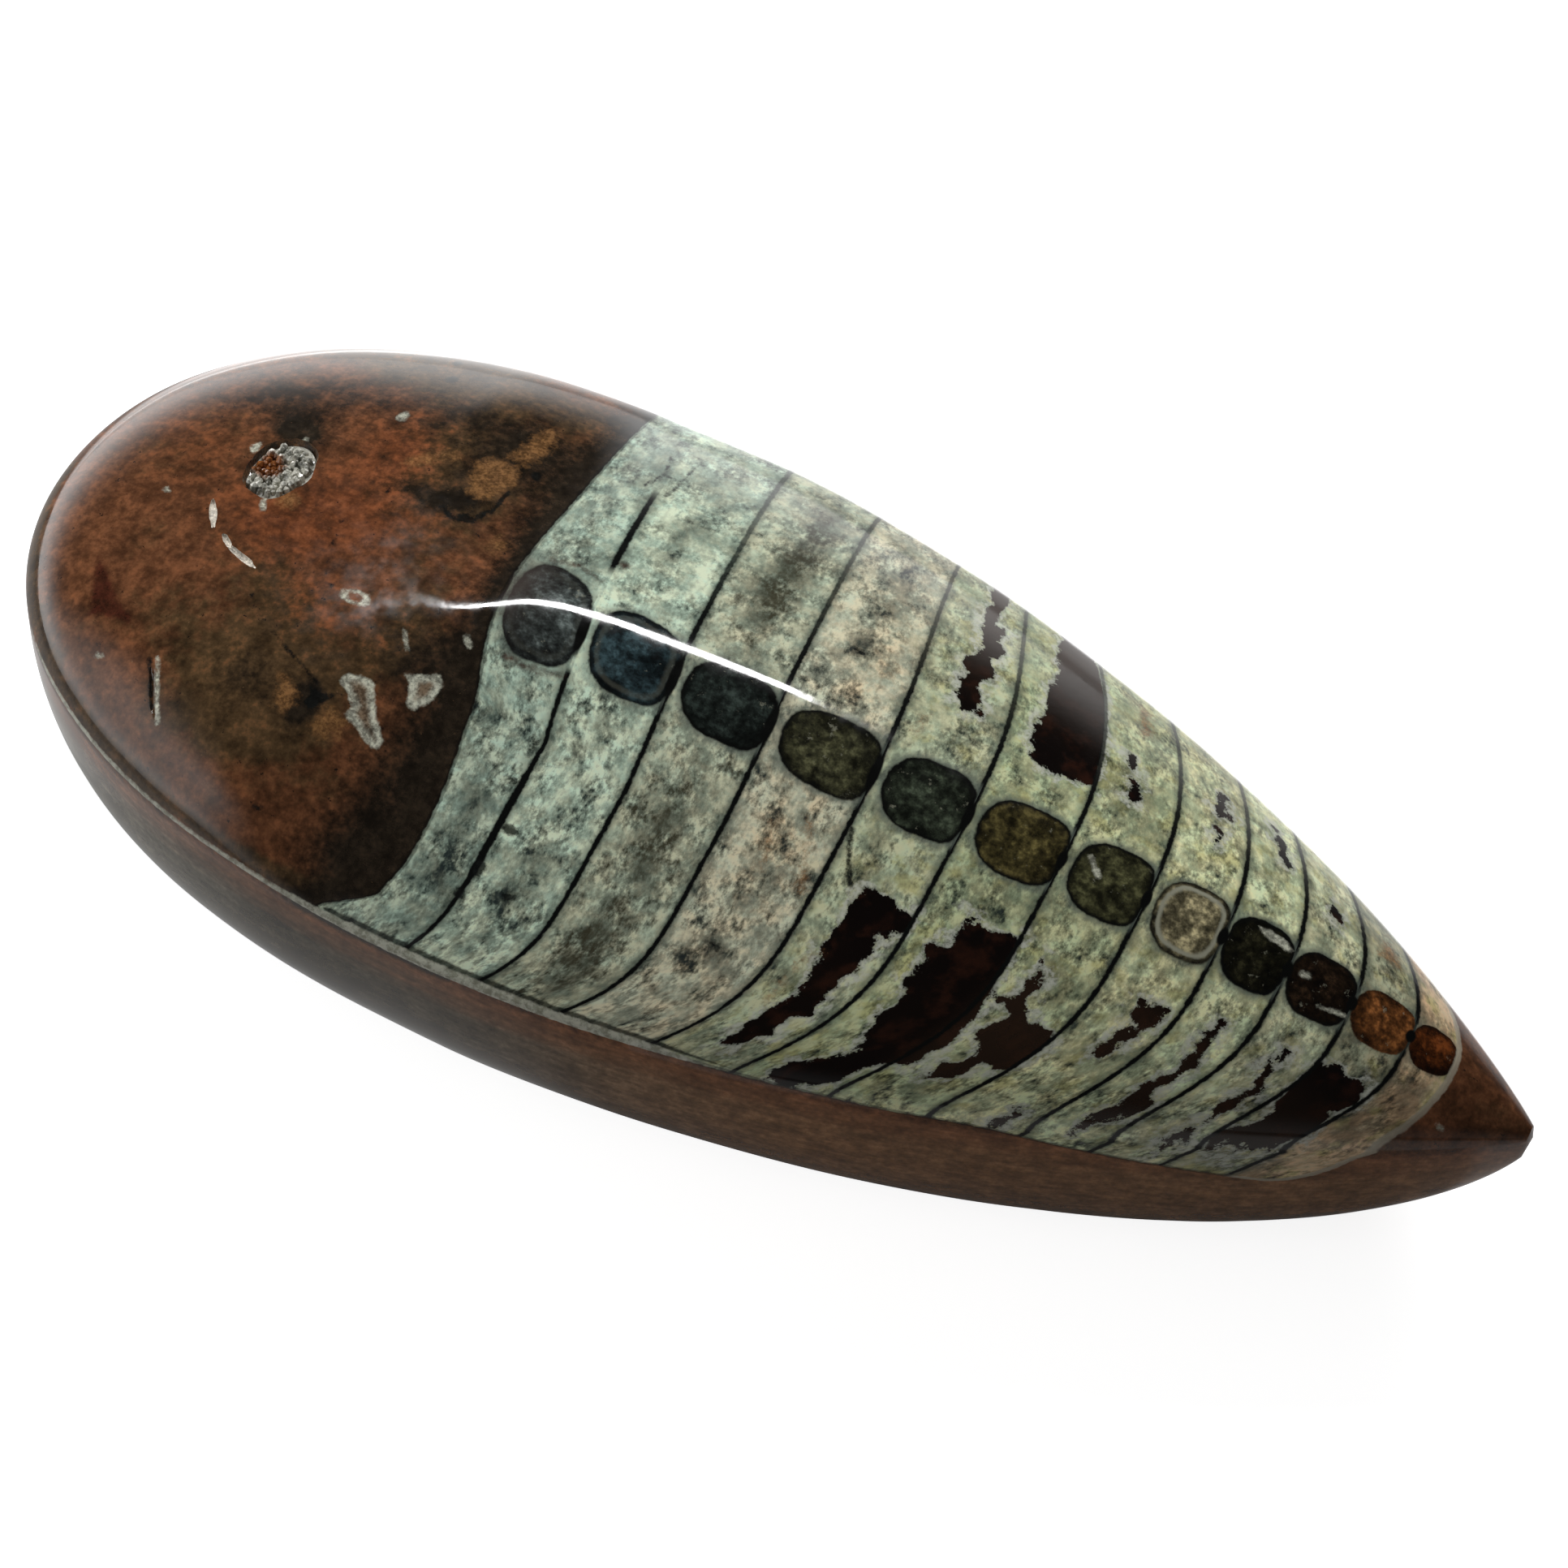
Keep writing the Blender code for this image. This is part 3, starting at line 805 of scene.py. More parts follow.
@dataclass
class Graph:
    """A node tree that is written one call at a time."""

    tree: NodeTree

    def node(
        self, kind: str, inputs: dict[str | int, Input] | None = None, **settings: object
    ) -> Node:
        """Add a node.

        Args:
            kind: The node's type.
            inputs: Values or sockets for its inputs, by name or place.
            settings: The node's own settings.

        Returns:
            The new node.
        """
        made = self.tree.nodes.new(kind)
        for name, value in settings.items():
            setattr(made, name, value)
        for name, value in (inputs or {}).items():
            self.feed(made.inputs[name], value)
        return made

    def feed(self, target: Socket, value: Input) -> None:
        """Link a socket to an input, or set the input's value.

        Args:
            target: The input.
            value: A socket, a number or a colour.
        """
        if isinstance(value, Socket):
            self.tree.links.new(value, target)
        elif isinstance(value, tuple) and target.type == "RGBA":
            target.default_value = (*value, 1.0)
        else:
            target.default_value = value

    def math(self, operation: str, *values: Input) -> Socket:
        """Return the result of a math node."""
        return self.node("ShaderNodeMath", dict(enumerate(values)), operation=operation).outputs[0]

    def times(self, first: Input, second: Input) -> Socket:
        """Return the product of two numbers."""
        return self.math("MULTIPLY", first, second)

    def plus(self, first: Input, second: Input) -> Socket:
        """Return the sum of two numbers."""
        return self.math("ADD", first, second)

    def minus(self, first: Input, second: Input) -> Socket:
        """Return the difference of two numbers."""
        return self.math("SUBTRACT", first, second)

    def divided(self, first: Input, second: Input) -> Socket:
        """Return one number divided by another."""
        return self.math("DIVIDE", first, second)

    def scaled(self, value: Input, factor: Input, offset: Input) -> Socket:
        """Return a number times a factor, plus an offset."""
        return self.math("MULTIPLY_ADD", value, factor, offset)

    def size_of(self, value: Input) -> Socket:
        """Return a number without its sign."""
        return self.math("ABSOLUTE", value)

    def step(self, value: Input, low: Input, high: Input) -> Socket:
        """Return 0 where a value is low, 1 where it is high, and a smooth rise between."""
        inputs = {"Value": value, "From Min": low, "From Max": high}
        return self.node("ShaderNodeMapRange", inputs, interpolation_type="SMOOTHSTEP").outputs["Result"]

    def mix(self, share: Input, first: Input, second: Input, blend: str = "MIX") -> Socket:
        """Return a mix of two colours."""
        inputs = {0: share, 6: first, 7: second}
        return self.node("ShaderNodeMix", inputs, data_type="RGBA", blend_type=blend).outputs[2]

    def lit(self, colour: Input, light: Input) -> Socket:
        """Return a colour multiplied by a light."""
        return self.mix(1.0, colour, light, "MULTIPLY")

    def over(self, colour: Input, tint: Input, mask: Input, strength: float) -> Socket:
        """Return a colour with a tint laid over it where a mask is, no stronger than a strength."""
        return self.mix(self.times(mask, strength), colour, tint)

    def axis(self, place: Socket, name: str) -> Socket:
        """Return a place's number along one axis."""
        return self.node("ShaderNodeSeparateXYZ", {"Vector": place}).outputs[name]

    def dot(self, place: Socket, heading: Colour) -> Socket:
        """Return how far a place lies along a heading."""
        inputs = {0: place, 1: heading}
        return self.node("ShaderNodeVectorMath", inputs, operation="DOT_PRODUCT").outputs["Value"]

    def noise(self, place: Socket, scale: Input, detail: float, roughness: float) -> Socket:
        """Return a fractal noise around 0.5."""
        inputs = {"Vector": place, "Scale": scale, "Detail": detail, "Roughness": roughness}
        return self.node("ShaderNodeTexNoise", inputs).outputs["Fac"]

    def patches(self, place: Socket, scale: float, detail: float, roughness: float, span: Span) -> Socket:
        """Return patches of 1 with soft edges, where a fractal noise is past a span."""
        return self.step(self.noise(place, scale, detail, roughness), *span)

    def wobble(self, place: Socket, scale: float, detail: float, roughness: float, size: float) -> Socket:
        """Return a fractal noise around 0, within about half a size of it."""
        return self.scaled(self.noise(place, scale, detail, roughness), size, -size / 2)

    def cells(self, place: Socket, scale: float) -> Socket:
        """Return the distance to the nearest of some scattered points."""
        return self.node("ShaderNodeTexVoronoi", {"Vector": place, "Scale": scale}).outputs["Distance"]

    def stretched(self, place: Socket, factors: Colour) -> Socket:
        """Return a place with each axis multiplied by a factor."""
        return self.node("ShaderNodeVectorMath", {0: place, 1: factors}, operation="MULTIPLY").outputs[0]

    def ramp(self, value: Input, colours: tuple[Colour, ...], stepped: bool = False) -> Socket:
        """Return colours spread evenly over a value from 0 to 1.

        Args:
            value: The value.
            colours: The colours, in order.
            stepped: Whether each colour holds until the next one.

        Returns:
            The colour.
        """
        made = self.node("ShaderNodeValToRGB", {"Fac": value})
        ramp = made.color_ramp
        ramp.interpolation = "CONSTANT" if stepped else "LINEAR"
        places = len(colours) if stepped else len(colours) - 1
        ramp.elements[0].color = (*colours[0], 1.0)
        ramp.elements.remove(ramp.elements[1])
        for index, colour in enumerate(colours[1:], start=1):
            ramp.elements.new(index / places).color = (*colour, 1.0)
        return made.outputs["Color"]

    def field(self, wanted: Field) -> Socket:
        """Return one of the surface's fields as a number."""
        return self.node("ShaderNodeAttribute", attribute_name=wanted.value).outputs["Fac"]

    def fields(self, wanted: Field) -> tuple[Socket, Socket, Socket]:
        """Return one of the surface's fields as three numbers."""
        vector = self.node("ShaderNodeAttribute", attribute_name=wanted.value).outputs["Vector"]
        return tuple(self.node("ShaderNodeSeparateXYZ", {"Vector": vector}).outputs)

    def place(self) -> Socket:
        """Return the place on the piece in millimetres."""
        inputs = {0: self.node("ShaderNodeTexCoord").outputs["Object"], "Scale": 1.0 / MM}
        return self.node("ShaderNodeVectorMath", inputs, operation="SCALE").outputs[0]

    def bump(self, shader: Node, height: Socket, strength: float, depth: float) -> None:
        """Give a shader the bumps of a height.

        Args:
            shader: The shader node.
            height: The height of each place.
            strength: How strong the bumps are, up to 1.
            depth: How deep they are, in millimetres.
        """
        made = self.node("ShaderNodeBump", {"Strength": strength, "Distance": depth * MM})
        self.feed(made.inputs["Height"], height)
        self.feed(shader.inputs["Normal"], made.outputs["Normal"])

    def group(self, tree: NodeTree, **inputs: Input) -> Node:
        """Add a group, with its inputs by name.

        Args:
            tree: The group's tree.
            inputs: Values or sockets, each under its input's name.

        Returns:
            The group's node.
        """
        made = self.node("ShaderNodeGroup", node_tree=tree)
        for name, value in inputs.items():
            self.feed(made.inputs[name.replace("_", " ").title()], value)
        return made


class Effects:
    """The shader node groups that the materials share."""

    def __init__(self) -> None:
        """Build each group once."""
        self.speckle = self._speckle()
        self.mottle = self._mottle()
        self.grain = self._grain()
        self.polish = self._polish()

    def _new(
        self, name: str, inputs: dict[str, str], outputs: dict[str, str]
    ) -> tuple[Graph, dict[str, Socket]]:
        """Start a group.

        Args:
            name: The group's name.
            inputs: The socket type of each input.
            outputs: The socket type of each output.

        Returns:
            The group's graph, and its inputs' sockets by name.
        """
        tree = bpy.data.node_groups.new(name, "ShaderNodeTree")
        for label, kind in inputs.items():
            tree.interface.new_socket(name=label, in_out="INPUT", socket_type=f"NodeSocket{kind}")
        for label, kind in outputs.items():
            tree.interface.new_socket(name=label, in_out="OUTPUT", socket_type=f"NodeSocket{kind}")
        graph = Graph(tree)
        entry = graph.node("NodeGroupInput")
        return graph, {label: entry.outputs[label] for label in inputs}

    def _speckle(self) -> NodeTree:
        """Return the group that scatters fine grains where an amount says so.

        Returns:
            The group's tree.
        """
        inputs = {"Place": "Vector", "Scale": "Float", "Amount": "Float", "Softness": "Float"}
        graph, given = self._new("speckle", inputs, {"Mask": "Float"})
        grain = graph.noise(given["Place"], given["Scale"], 4.0, 0.72)
        level = graph.scaled(given["Amount"], -0.5, 0.74)
        mask = graph.step(grain, level, graph.plus(level, given["Softness"]))
        graph.node("NodeGroupOutput", {"Mask": mask})
        return graph.tree

    def _mottle(self) -> NodeTree:
        """Return the group that clouds one colour with another at two scales.

        Returns:
            The group's tree.
        """
        inputs = {"Place": "Vector", "Scale": "Float", "Balance": "Float", "First": "Color", "Second": "Color"}
        graph, given = self._new("mottle", inputs, {"Color": "Color", "Mask": "Float"})
        broad = graph.noise(given["Place"], given["Scale"], 4.0, 0.62)
        close = graph.noise(given["Place"], graph.times(given["Scale"], 7.0), 2.0, 0.7)
        both = graph.scaled(close, 0.335, graph.times(broad, 0.753))
        share = graph.step(graph.plus(both, given["Balance"]), 0.42, 0.7)
        colour = graph.mix(share, given["First"], given["Second"])
        graph.node("NodeGroupOutput", {"Color": colour, "Mask": share})
        return graph.tree

    def _grain(self) -> NodeTree:
        """Return the group that gives a mineral's grain: a level around 0, and the light that it lets out.

        Returns:
            The group's tree.
        """
        inputs = {"Place": "Vector", "Scale": "Float", "Contrast": "Float", "Bias": "Float", "Ceiling": "Float"}
        graph, given = self._new("grain", inputs, {"Level": "Float", "Light": "Float"})
        coarse = graph.noise(given["Place"], given["Scale"], 2.0, 0.75)
        fine = graph.noise(given["Place"], graph.times(given["Scale"], 3.6), 2.0, 0.75)
        both = graph.scaled(fine, 0.45, graph.scaled(coarse, 0.55, -0.5))
        level = graph.scaled(both, given["Contrast"], given["Bias"])
        light = graph.math("EXPONENT", graph.math("SMOOTH_MIN", level, given["Ceiling"], 0.6))
        graph.node("NodeGroupOutput", {"Level": level, "Light": light})
        return graph.tree

    def _polish(self) -> NodeTree:
        """Return the group that varies a polish and gives its fine waves as a height.

        Returns:
            The group's tree.
        """
        inputs = {"Place": "Vector", "Smoothest": "Float", "Roughest": "Float"}
        graph, given = self._new("polish", inputs, {"Roughness": "Float", "Height": "Float"})
        haze = graph.noise(given["Place"], 0.6, 2.0, 0.55)
        share = graph.step(haze, 0.3, 0.7)
        span = graph.minus(given["Roughest"], given["Smoothest"])
        roughness = graph.scaled(share, span, given["Smoothest"])
        waves = graph.noise(given["Place"], 0.9, 2.0, 0.5)
        grit = graph.noise(given["Place"], 9.0, 0.0, 0.6)
        height = graph.scaled(grit, 0.06, waves)
        graph.node("NodeGroupOutput", {"Roughness": roughness, "Height": height})
        return graph.tree


def new_material(name: str) -> tuple[Material, Graph, Node]:
    """Return a new material with its graph and its Principled shader.

    Args:
        name: The material's name.

    Returns:
        The material, its graph and its shader.
    """
    material = bpy.data.materials.new(name)
    material.use_nodes = True
    return material, Graph(material.node_tree), material.node_tree.nodes["Principled BSDF"]


@dataclass(frozen=True)
class LimestoneFinish:
    """The rock around the fossil, and the veins, specks and stains in it."""

    brown: Colour = srgb(98, 62, 40)
    olive: Colour = srgb(74, 56, 36)
    shade: Colour = srgb(38, 31, 23)
    rust: Colour = srgb(106, 61, 36)
    pepper: Colour = srgb(24, 18, 12)
    sand: Colour = srgb(146, 112, 80)
    pale: Colour = srgb(182, 183, 166)
    pale_heart: Colour = srgb(112, 96, 78)
    ochre: Colour = srgb(132, 94, 57)
    maroon: Colour = srgb(58, 25, 17)
    ink: Colour = srgb(16, 18, 17)
    wall_brown: Colour = srgb(120, 80, 54)
    # Low on the side wall towards the head: partly the rock's olive-grey, partly a painted reflection of the
    # pale floor.
    wall_grey_and_sheen: Colour = srgb(112, 106, 93)
    wall_dark: Colour = srgb(66, 58, 44)
    wall_tan: Colour = srgb(128, 94, 66)

    def colour(self, graph: Graph, effects: Effects, place: Socket) -> Socket:
        """Return the rock's colour.

        Args:
            graph: The material's graph.
            effects: The shared node groups.
            place: The place on the piece.

        Returns:
            The colour of the bare rock.
        """
        olive, shade, rust = graph.fields(Field.TONE)
        clouded = graph.group(
            effects.mottle,
            place=place,
            scale=0.1,
            balance=graph.scaled(olive, 0.5, -0.12),
            first=self.brown,
            second=self.olive,
        )
        wall, banded = self._wall(graph, place)
        contrast = graph.scaled(wall, -2.0, 4.8)
        grain = graph.group(effects.grain, place=place, scale=0.38, contrast=contrast, bias=0.0, ceiling=0.7)
        level = grain.outputs["Level"]
        rusty = graph.step(graph.scaled(rust, 0.9, graph.times(level, 0.5)), 0.1, 1.0)
        colour = graph.mix(rusty, clouded.outputs["Color"], self.rust)
        dark = graph.step(graph.scaled(shade, 1.1, graph.times(level, -0.25)), 0.05, 1.05)
        colour = graph.mix(dark, colour, self.shade)
        colour = graph.mix(wall, colour, banded)
        colour = graph.lit(colour, grain.outputs["Light"])
        amount = graph.scaled(wall, -0.1, 0.18)
        grains = graph.group(effects.speckle, place=place, scale=1.2, amount=amount, softness=0.04)
        colour = graph.over(colour, self.pepper, grains.outputs["Mask"], 0.85)
        sandy = graph.group(
            effects.speckle,
            place=graph.stretched(place, (1.0, -1.0, 1.3)),
            scale=2.6,
            amount=graph.scaled(shade, -0.04, 0.16),
            softness=0.07,
        )
        return graph.over(colour, self.sand, sandy.outputs["Mask"], 0.5)

    def _wall(self, graph: Graph, place: Socket) -> tuple[Socket, Socket]:
        """Return the mask of the side wall, and the colour of its lengthwise bands.

        Args:
            graph: The material's graph.
            place: The place on the piece.

        Returns:
            The mask and the colour.
        """
        drop = graph.field(Field.DROP)
        station = graph.axis(place, "X")
        streaks = graph.noise(graph.stretched(place, (0.08, 0.1, 1.0)), 0.5, 3.0, 0.5)
        level = graph.scaled(streaks, 6.0, graph.minus(drop, 3.0))
        # Lower wall: grey towards the head, partly a painted reflection of the floor; tan towards the tip.
        lower = graph.mix(graph.step(station, -30.0, 20.0), self.wall_grey_and_sheen, self.wall_tan)
        middle = graph.times(graph.step(station, -50.0, -32.0), graph.step(station, 6.0, -22.0))
        lower = graph.over(lower, self.wall_dark, middle, 0.8)
        colour = graph.mix(graph.step(level, 0.5, 6.5), self.wall_brown, lower)
        veins = graph.noise(graph.stretched(place, (0.25, 0.3, 1.4)), 0.8, 3.0, 0.6)
        light = graph.math("EXPONENT", graph.scaled(veins, 1.37, -0.635))
        return graph.step(drop, 0.3, 1.6), graph.lit(colour, light)

    def marks(self, graph: Graph, effects: Effects, place: Socket, colour: Socket) -> Socket:
        """Return a colour with the veins, specks and stains laid over it.

        Args:
            graph: The material's graph.
            effects: The shared node groups.
            place: The place on the piece.
            colour: The colour beneath.

        Returns:
            The marked colour.
        """
        ragged = graph.wobble(place, 1.3, 4.0, 0.75, 1.36)
        grain = graph.group(effects.grain, place=place, scale=1.0, contrast=7.0, bias=-0.05, ceiling=0.5)
        light = grain.outputs["Light"]
        layers = (
            (Field.OCHRE, self.ochre, 1.9, (-0.4, 0.8), 0.72),
            (Field.MAROON, self.maroon, 0.8, (-0.4, 0.4), 0.85),
            (Field.PALE, self.pale, 0.5, (-0.16, 0.2), 0.88),
            (Field.DARK, self.ink, 0.7, (-0.14, 0.2), 0.92),
        )
        for wanted, tint, raggedness, (low, high), strength in layers:
            depth = graph.scaled(ragged, raggedness, graph.field(wanted))
            mask = graph.times(graph.step(depth, low, high), strength)
            if wanted is Field.PALE:
                tint = graph.mix(graph.step(depth, 0.35, 1.0), tint, self.pale_heart)
            colour = graph.mix(mask, colour, graph.lit(tint, light))
        return colour


@dataclass(frozen=True)
class CalciteFinish:
    """The calcite that fills the chambers, each chamber with its own tint."""

    tints: tuple[Colour, ...] = (
        srgb(155, 170, 157), srgb(170, 184, 168), srgb(160, 166, 148), srgb(172, 172, 154),
        srgb(160, 166, 142), srgb(156, 164, 134), srgb(166, 172, 140), srgb(187, 190, 156),
        srgb(184, 190, 158), srgb(182, 185, 157), srgb(148, 148, 126), srgb(176, 154, 128),
    )  # fmt: skip
    smudge: Colour = srgb(34, 44, 46)
    brown_smudge: Colour = srgb(62, 58, 42)
    blush: Colour = srgb(180, 158, 128)
    moss: Colour = srgb(148, 144, 92)
    cool: Colour = (0.94, 1.01, 0.97)
    warm: Colour = (1.07, 1.0, 0.9)
    cavity_brown: Colour = srgb(58, 42, 30)
    # Partly painted sheen: the purple-grey haze around the start of the ridge's highlight, partly the stone's
    # own grey.
    dusk_and_sheen: Colour = srgb(70, 62, 58)
    halo: Colour = srgb(70, 80, 72)
    rim: Colour = srgb(196, 198, 186)
    cavity: Colour = srgb(10, 5, 4)
    cavity_rust: Colour = srgb(40, 20, 12)
    ink: Colour = srgb(10, 12, 11)

    def colour(self, graph: Graph, effects: Effects, growth: Socket, chamber: Socket) -> Socket:
        """Return the calcite's colour.

        Args:
            graph: The material's graph.
            effects: The shared node groups.
            growth: The place in growth coordinates.
            chamber: The chamber coordinate.

        Returns:
            The colour of the filled chambers, without septa.
        """
        smudge, blush, _ = graph.fields(Field.STAIN)
        tint = graph.ramp(graph.divided(chamber, float(len(self.tints))), self.tints, stepped=True)
        patchy = graph.patches(growth, 0.35, 3.0, 0.6, (0.38, 0.62))
        tint = graph.mix(graph.times(blush, patchy), tint, self.blush)
        drift = graph.mix(graph.patches(growth, 0.6, 4.0, 0.65, (0.36, 0.64)), self.cool, self.warm)
        tint = graph.lit(tint, drift)
        mossy = graph.patches(growth, 0.42, 3.0, 0.6, (0.5, 0.67))
        late = graph.step(chamber, 3.6, 4.6)
        tint = graph.mix(graph.times(graph.times(mossy, late), 0.6), tint, self.moss)
        broad = graph.noise(growth, 0.3, 3.0, 0.6)
        share = graph.minus(chamber, graph.math("FLOOR", chamber))
        middle = graph.step(graph.size_of(graph.minus(share, 0.52)), 0.42, 0.1)
        weight = graph.scaled(broad, 2.2, 0.2)
        bias = graph.scaled(broad, 2.2, -0.98)
        bias = graph.minus(bias, graph.times(middle, 0.2))
        bias = graph.minus(bias, graph.times(smudge, weight))
        contrast = graph.scaled(patchy, 7.0, graph.scaled(late, -0.6, 3.8))
        far = graph.step(graph.axis(growth, "Y"), 2.0, 9.0)
        contrast = graph.times(contrast, graph.scaled(far, -0.3, 1.0))
        fibres = graph.stretched(growth, (1.25, 0.8, 1.0))
        grain = graph.group(effects.grain, place=fibres, scale=0.5, contrast=contrast, bias=bias, ceiling=0.55)
        colour = graph.lit(tint, grain.outputs["Light"])
        brown = graph.step(graph.size_of(graph.minus(chamber, 2.5)), 0.53, 0.48)
        smudged = graph.mix(brown, self.smudge, self.brown_smudge)
        dark = graph.times(graph.step(grain.outputs["Level"], -0.5, -1.9), 0.75)
        return graph.mix(dark, colour, smudged)

    def cavities(self, graph: Graph, growth: Socket, septum: Socket, colour: Socket) -> Socket:
        """Return a colour with the filled cavities and their scalloped pale rims laid over it.

        Args:
            graph: The material's graph.
            growth: The place in growth coordinates.
            septum: The distance to the nearest septum.
            colour: The colour beneath.

        Returns:
            The colour with its cavities.
        """
        scallops = graph.minus(graph.cells(growth, 0.75), 0.42)
        ragged = graph.wobble(growth, 1.1, 3.0, 0.6, 1.0)
        crumbs = graph.wobble(growth, 4.2, 3.0, 0.7, 1.0)
        rough = graph.plus(graph.plus(scallops, ragged), crumbs)
        edge = graph.times(rough, graph.step(septum, 0.05, 0.9))
        cavity = graph.field(Field.CAVITY)
        depth = graph.plus(cavity, edge)
        wide = graph.patches(growth, 0.5, 3.0, 0.6, (0.36, 0.66))
        reach = graph.scaled(wide, -1.5, -0.25)
        rim = graph.step(graph.scaled(edge, 0.8, cavity), reach, graph.times(reach, 0.35))
        patchy = graph.times(rim, graph.patches(growth, 1.7, 4.0, 0.7, (0.3, 0.62)))
        colour = graph.over(colour, self.rim, patchy, 0.85)
        rusty = graph.patches(growth, 0.4, 3.0, 0.62, (0.46, 0.7))
        fill = graph.mix(rusty, self.cavity, self.cavity_rust)
        across = graph.axis(growth, "Y")
        late = graph.step(graph.axis(growth, "X"), 102.0, 106.0)
        near = graph.scaled(late, 0.5, 0.05)
        begins = graph.scaled(late, 6.0, -12.0)
        is_full = graph.scaled(late, 8.0, -22.0)
        brown = graph.scaled(graph.step(across, begins, is_full), near, graph.step(across, 8.0, 26.0))
        fill = graph.over(fill, self.cavity_brown, brown, 0.85)
        lip = graph.times(graph.step(depth, -0.4, 0.0), 0.45)
        colour = graph.mix(lip, colour, self.halo)
        return graph.mix(graph.step(depth, -0.05, 0.1), colour, fill)

    def septa(self, graph: Graph, growth: Socket, septum: Socket, colour: Socket) -> tuple[Socket, Socket]:
        """Return a colour with the septa's grey borders, and the mask of their dark lines.

        Args:
            graph: The material's graph.
            growth: The place in growth coordinates.
            septum: The distance to the nearest septum.
            colour: The colour beneath.

        Returns:
            The bordered colour, and the lines' mask.
        """
        strength = graph.math("MINIMUM", graph.field(Field.SEPTUM), 1.0)
        thicker = graph.times(graph.minus(graph.field(Field.SEPTUM), strength), 0.3)
        varied = graph.noise(growth, 0.5, 2.0, 0.6)
        reach = graph.scaled(varied, 2.8, -0.3)
        halo = graph.times(graph.step(septum, reach, 0.05), 0.7)
        colour = graph.mix(graph.times(halo, strength), colour, self.halo)
        wobble = graph.wobble(growth, 1.6, 4.0, 0.6, 0.4)
        line = graph.step(graph.minus(graph.plus(septum, wobble), thicker), 0.34, 0.13)
        return colour, graph.times(line, strength)


@dataclass(frozen=True)
class BeadFinish:
    """The siphuncle's beads: dark fillings with black rims, each bead with its own tint."""

    tints: tuple[Colour, ...] = (
        srgb(62, 68, 66), srgb(30, 42, 45), srgb(28, 34, 31), srgb(50, 50, 34),
        srgb(42, 48, 38), srgb(60, 54, 30), srgb(53, 53, 34), srgb(112, 105, 80),
        srgb(24, 23, 13), srgb(27, 18, 10), srgb(94, 57, 28), srgb(64, 31, 10),
    )  # fmt: skip
    inner_rims: Numbers = (0.05, 0.12, 0.0, 0.0, 0.0, 0.0, 0.0, 1.0, 0.0, 0.0, 0.0, 0.0)
    rims: Numbers = (0.7, 0.75, 1.0, 0.9, 1.0, 1.0, 1.0, 0.85, 1.0, 0.9, 0.45, 0.45)
    ink: Colour = srgb(9, 10, 9)
    fleck: Colour = srgb(150, 150, 132)
    grey: Colour = srgb(92, 100, 92)
    middle: float = 0.56
    half_length: float = 0.45
    half_width: float = 3.7
    neck_share: float = 0.55

    def over(
        self, graph: Graph, effects: Effects, growth: Socket, chamber: Socket, septum: Socket, colour: Socket
    ) -> Socket:
        """Return a colour with the beads and the necks between them laid over it.

        Args:
            graph: The material's graph.
            effects: The shared node groups.
            growth: The place in growth coordinates.
            chamber: The chamber coordinate.
            septum: The distance to the nearest septum.
            colour: The colour beneath.

        Returns:
            The colour with its beads.
        """
        across = graph.size_of(graph.field(Field.BEAD))
        share = graph.minus(chamber, graph.math("FLOOR", chamber))
        late = graph.step(chamber, 7.9, 8.1)
        half_length = graph.scaled(late, 0.04, self.half_length)
        middle = graph.scaled(late, -0.04, self.middle)
        along = graph.divided(graph.minus(share, middle), half_length)
        towards_tip = graph.step(along, -0.1, 0.5)
        squareness = graph.scaled(towards_tip, 1.2, 2.3)
        reach = graph.math("POWER", graph.size_of(along), squareness)
        reach = graph.plus(reach, graph.math("POWER", across, squareness))
        reach = graph.math("POWER", reach, graph.divided(1.0, squareness))
        wobble = graph.wobble(growth, 0.8, 4.0, 0.6, 0.5)
        depth = graph.scaled(graph.minus(1.0, reach), self.half_width, wobble)
        number = graph.divided(chamber, float(len(self.tints)))
        body = graph.ramp(number, self.tints, stepped=True)
        grain = graph.group(effects.grain, place=growth, scale=0.4, contrast=11.0, bias=-0.1, ceiling=1.3)
        body = graph.lit(body, grain.outputs["Light"])
        heart = graph.scaled(graph.step(depth, 0.2, 2.4), 0.5, 0.68)
        body = graph.lit(body, heart)
        flecks = graph.group(effects.speckle, place=growth, scale=0.9, amount=0.24, softness=0.09)
        body = graph.over(body, self.fleck, flecks.outputs["Mask"], 0.45)
        inner = graph.times(graph.step(depth, 0.35, 0.6), graph.step(depth, 1.1, 0.7))
        inner_rims = graph.ramp(number, tuple((value,) * 3 for value in self.inner_rims), stepped=True)
        body = graph.mix(graph.times(inner, inner_rims), body, self.fleck)
        rims = graph.ramp(number, tuple((value,) * 3 for value in self.rims), stepped=True)
        thick = graph.scaled(graph.noise(growth, 0.7, 2.0, 0.5), 1.3, -0.1)
        thick = graph.scaled(towards_tip, 0.15, thick)
        body = graph.mix(graph.times(graph.step(depth, thick, 0.1), rims), body, self.ink)
        halo = graph.times(graph.times(graph.step(depth, -0.9, 0.0), 0.75), rims)
        colour = graph.mix(halo, colour, self.grey)
        colour = graph.mix(graph.step(depth, -0.12, 0.12), colour, body)
        neck_along = graph.math("POWER", graph.divided(septum, 0.45), 2.0)
        neck_share = graph.scaled(graph.step(chamber, 4.5, 5.5), -0.3, self.neck_share)
        neck_across = graph.math("POWER", graph.divided(across, neck_share), 2.0)
        neck = graph.plus(graph.plus(neck_along, neck_across), wobble)
        drawn = graph.times(graph.step(neck, 1.4, 0.6), graph.step(chamber, 11.6, 11.4))
        return graph.mix(drawn, colour, self.ink)


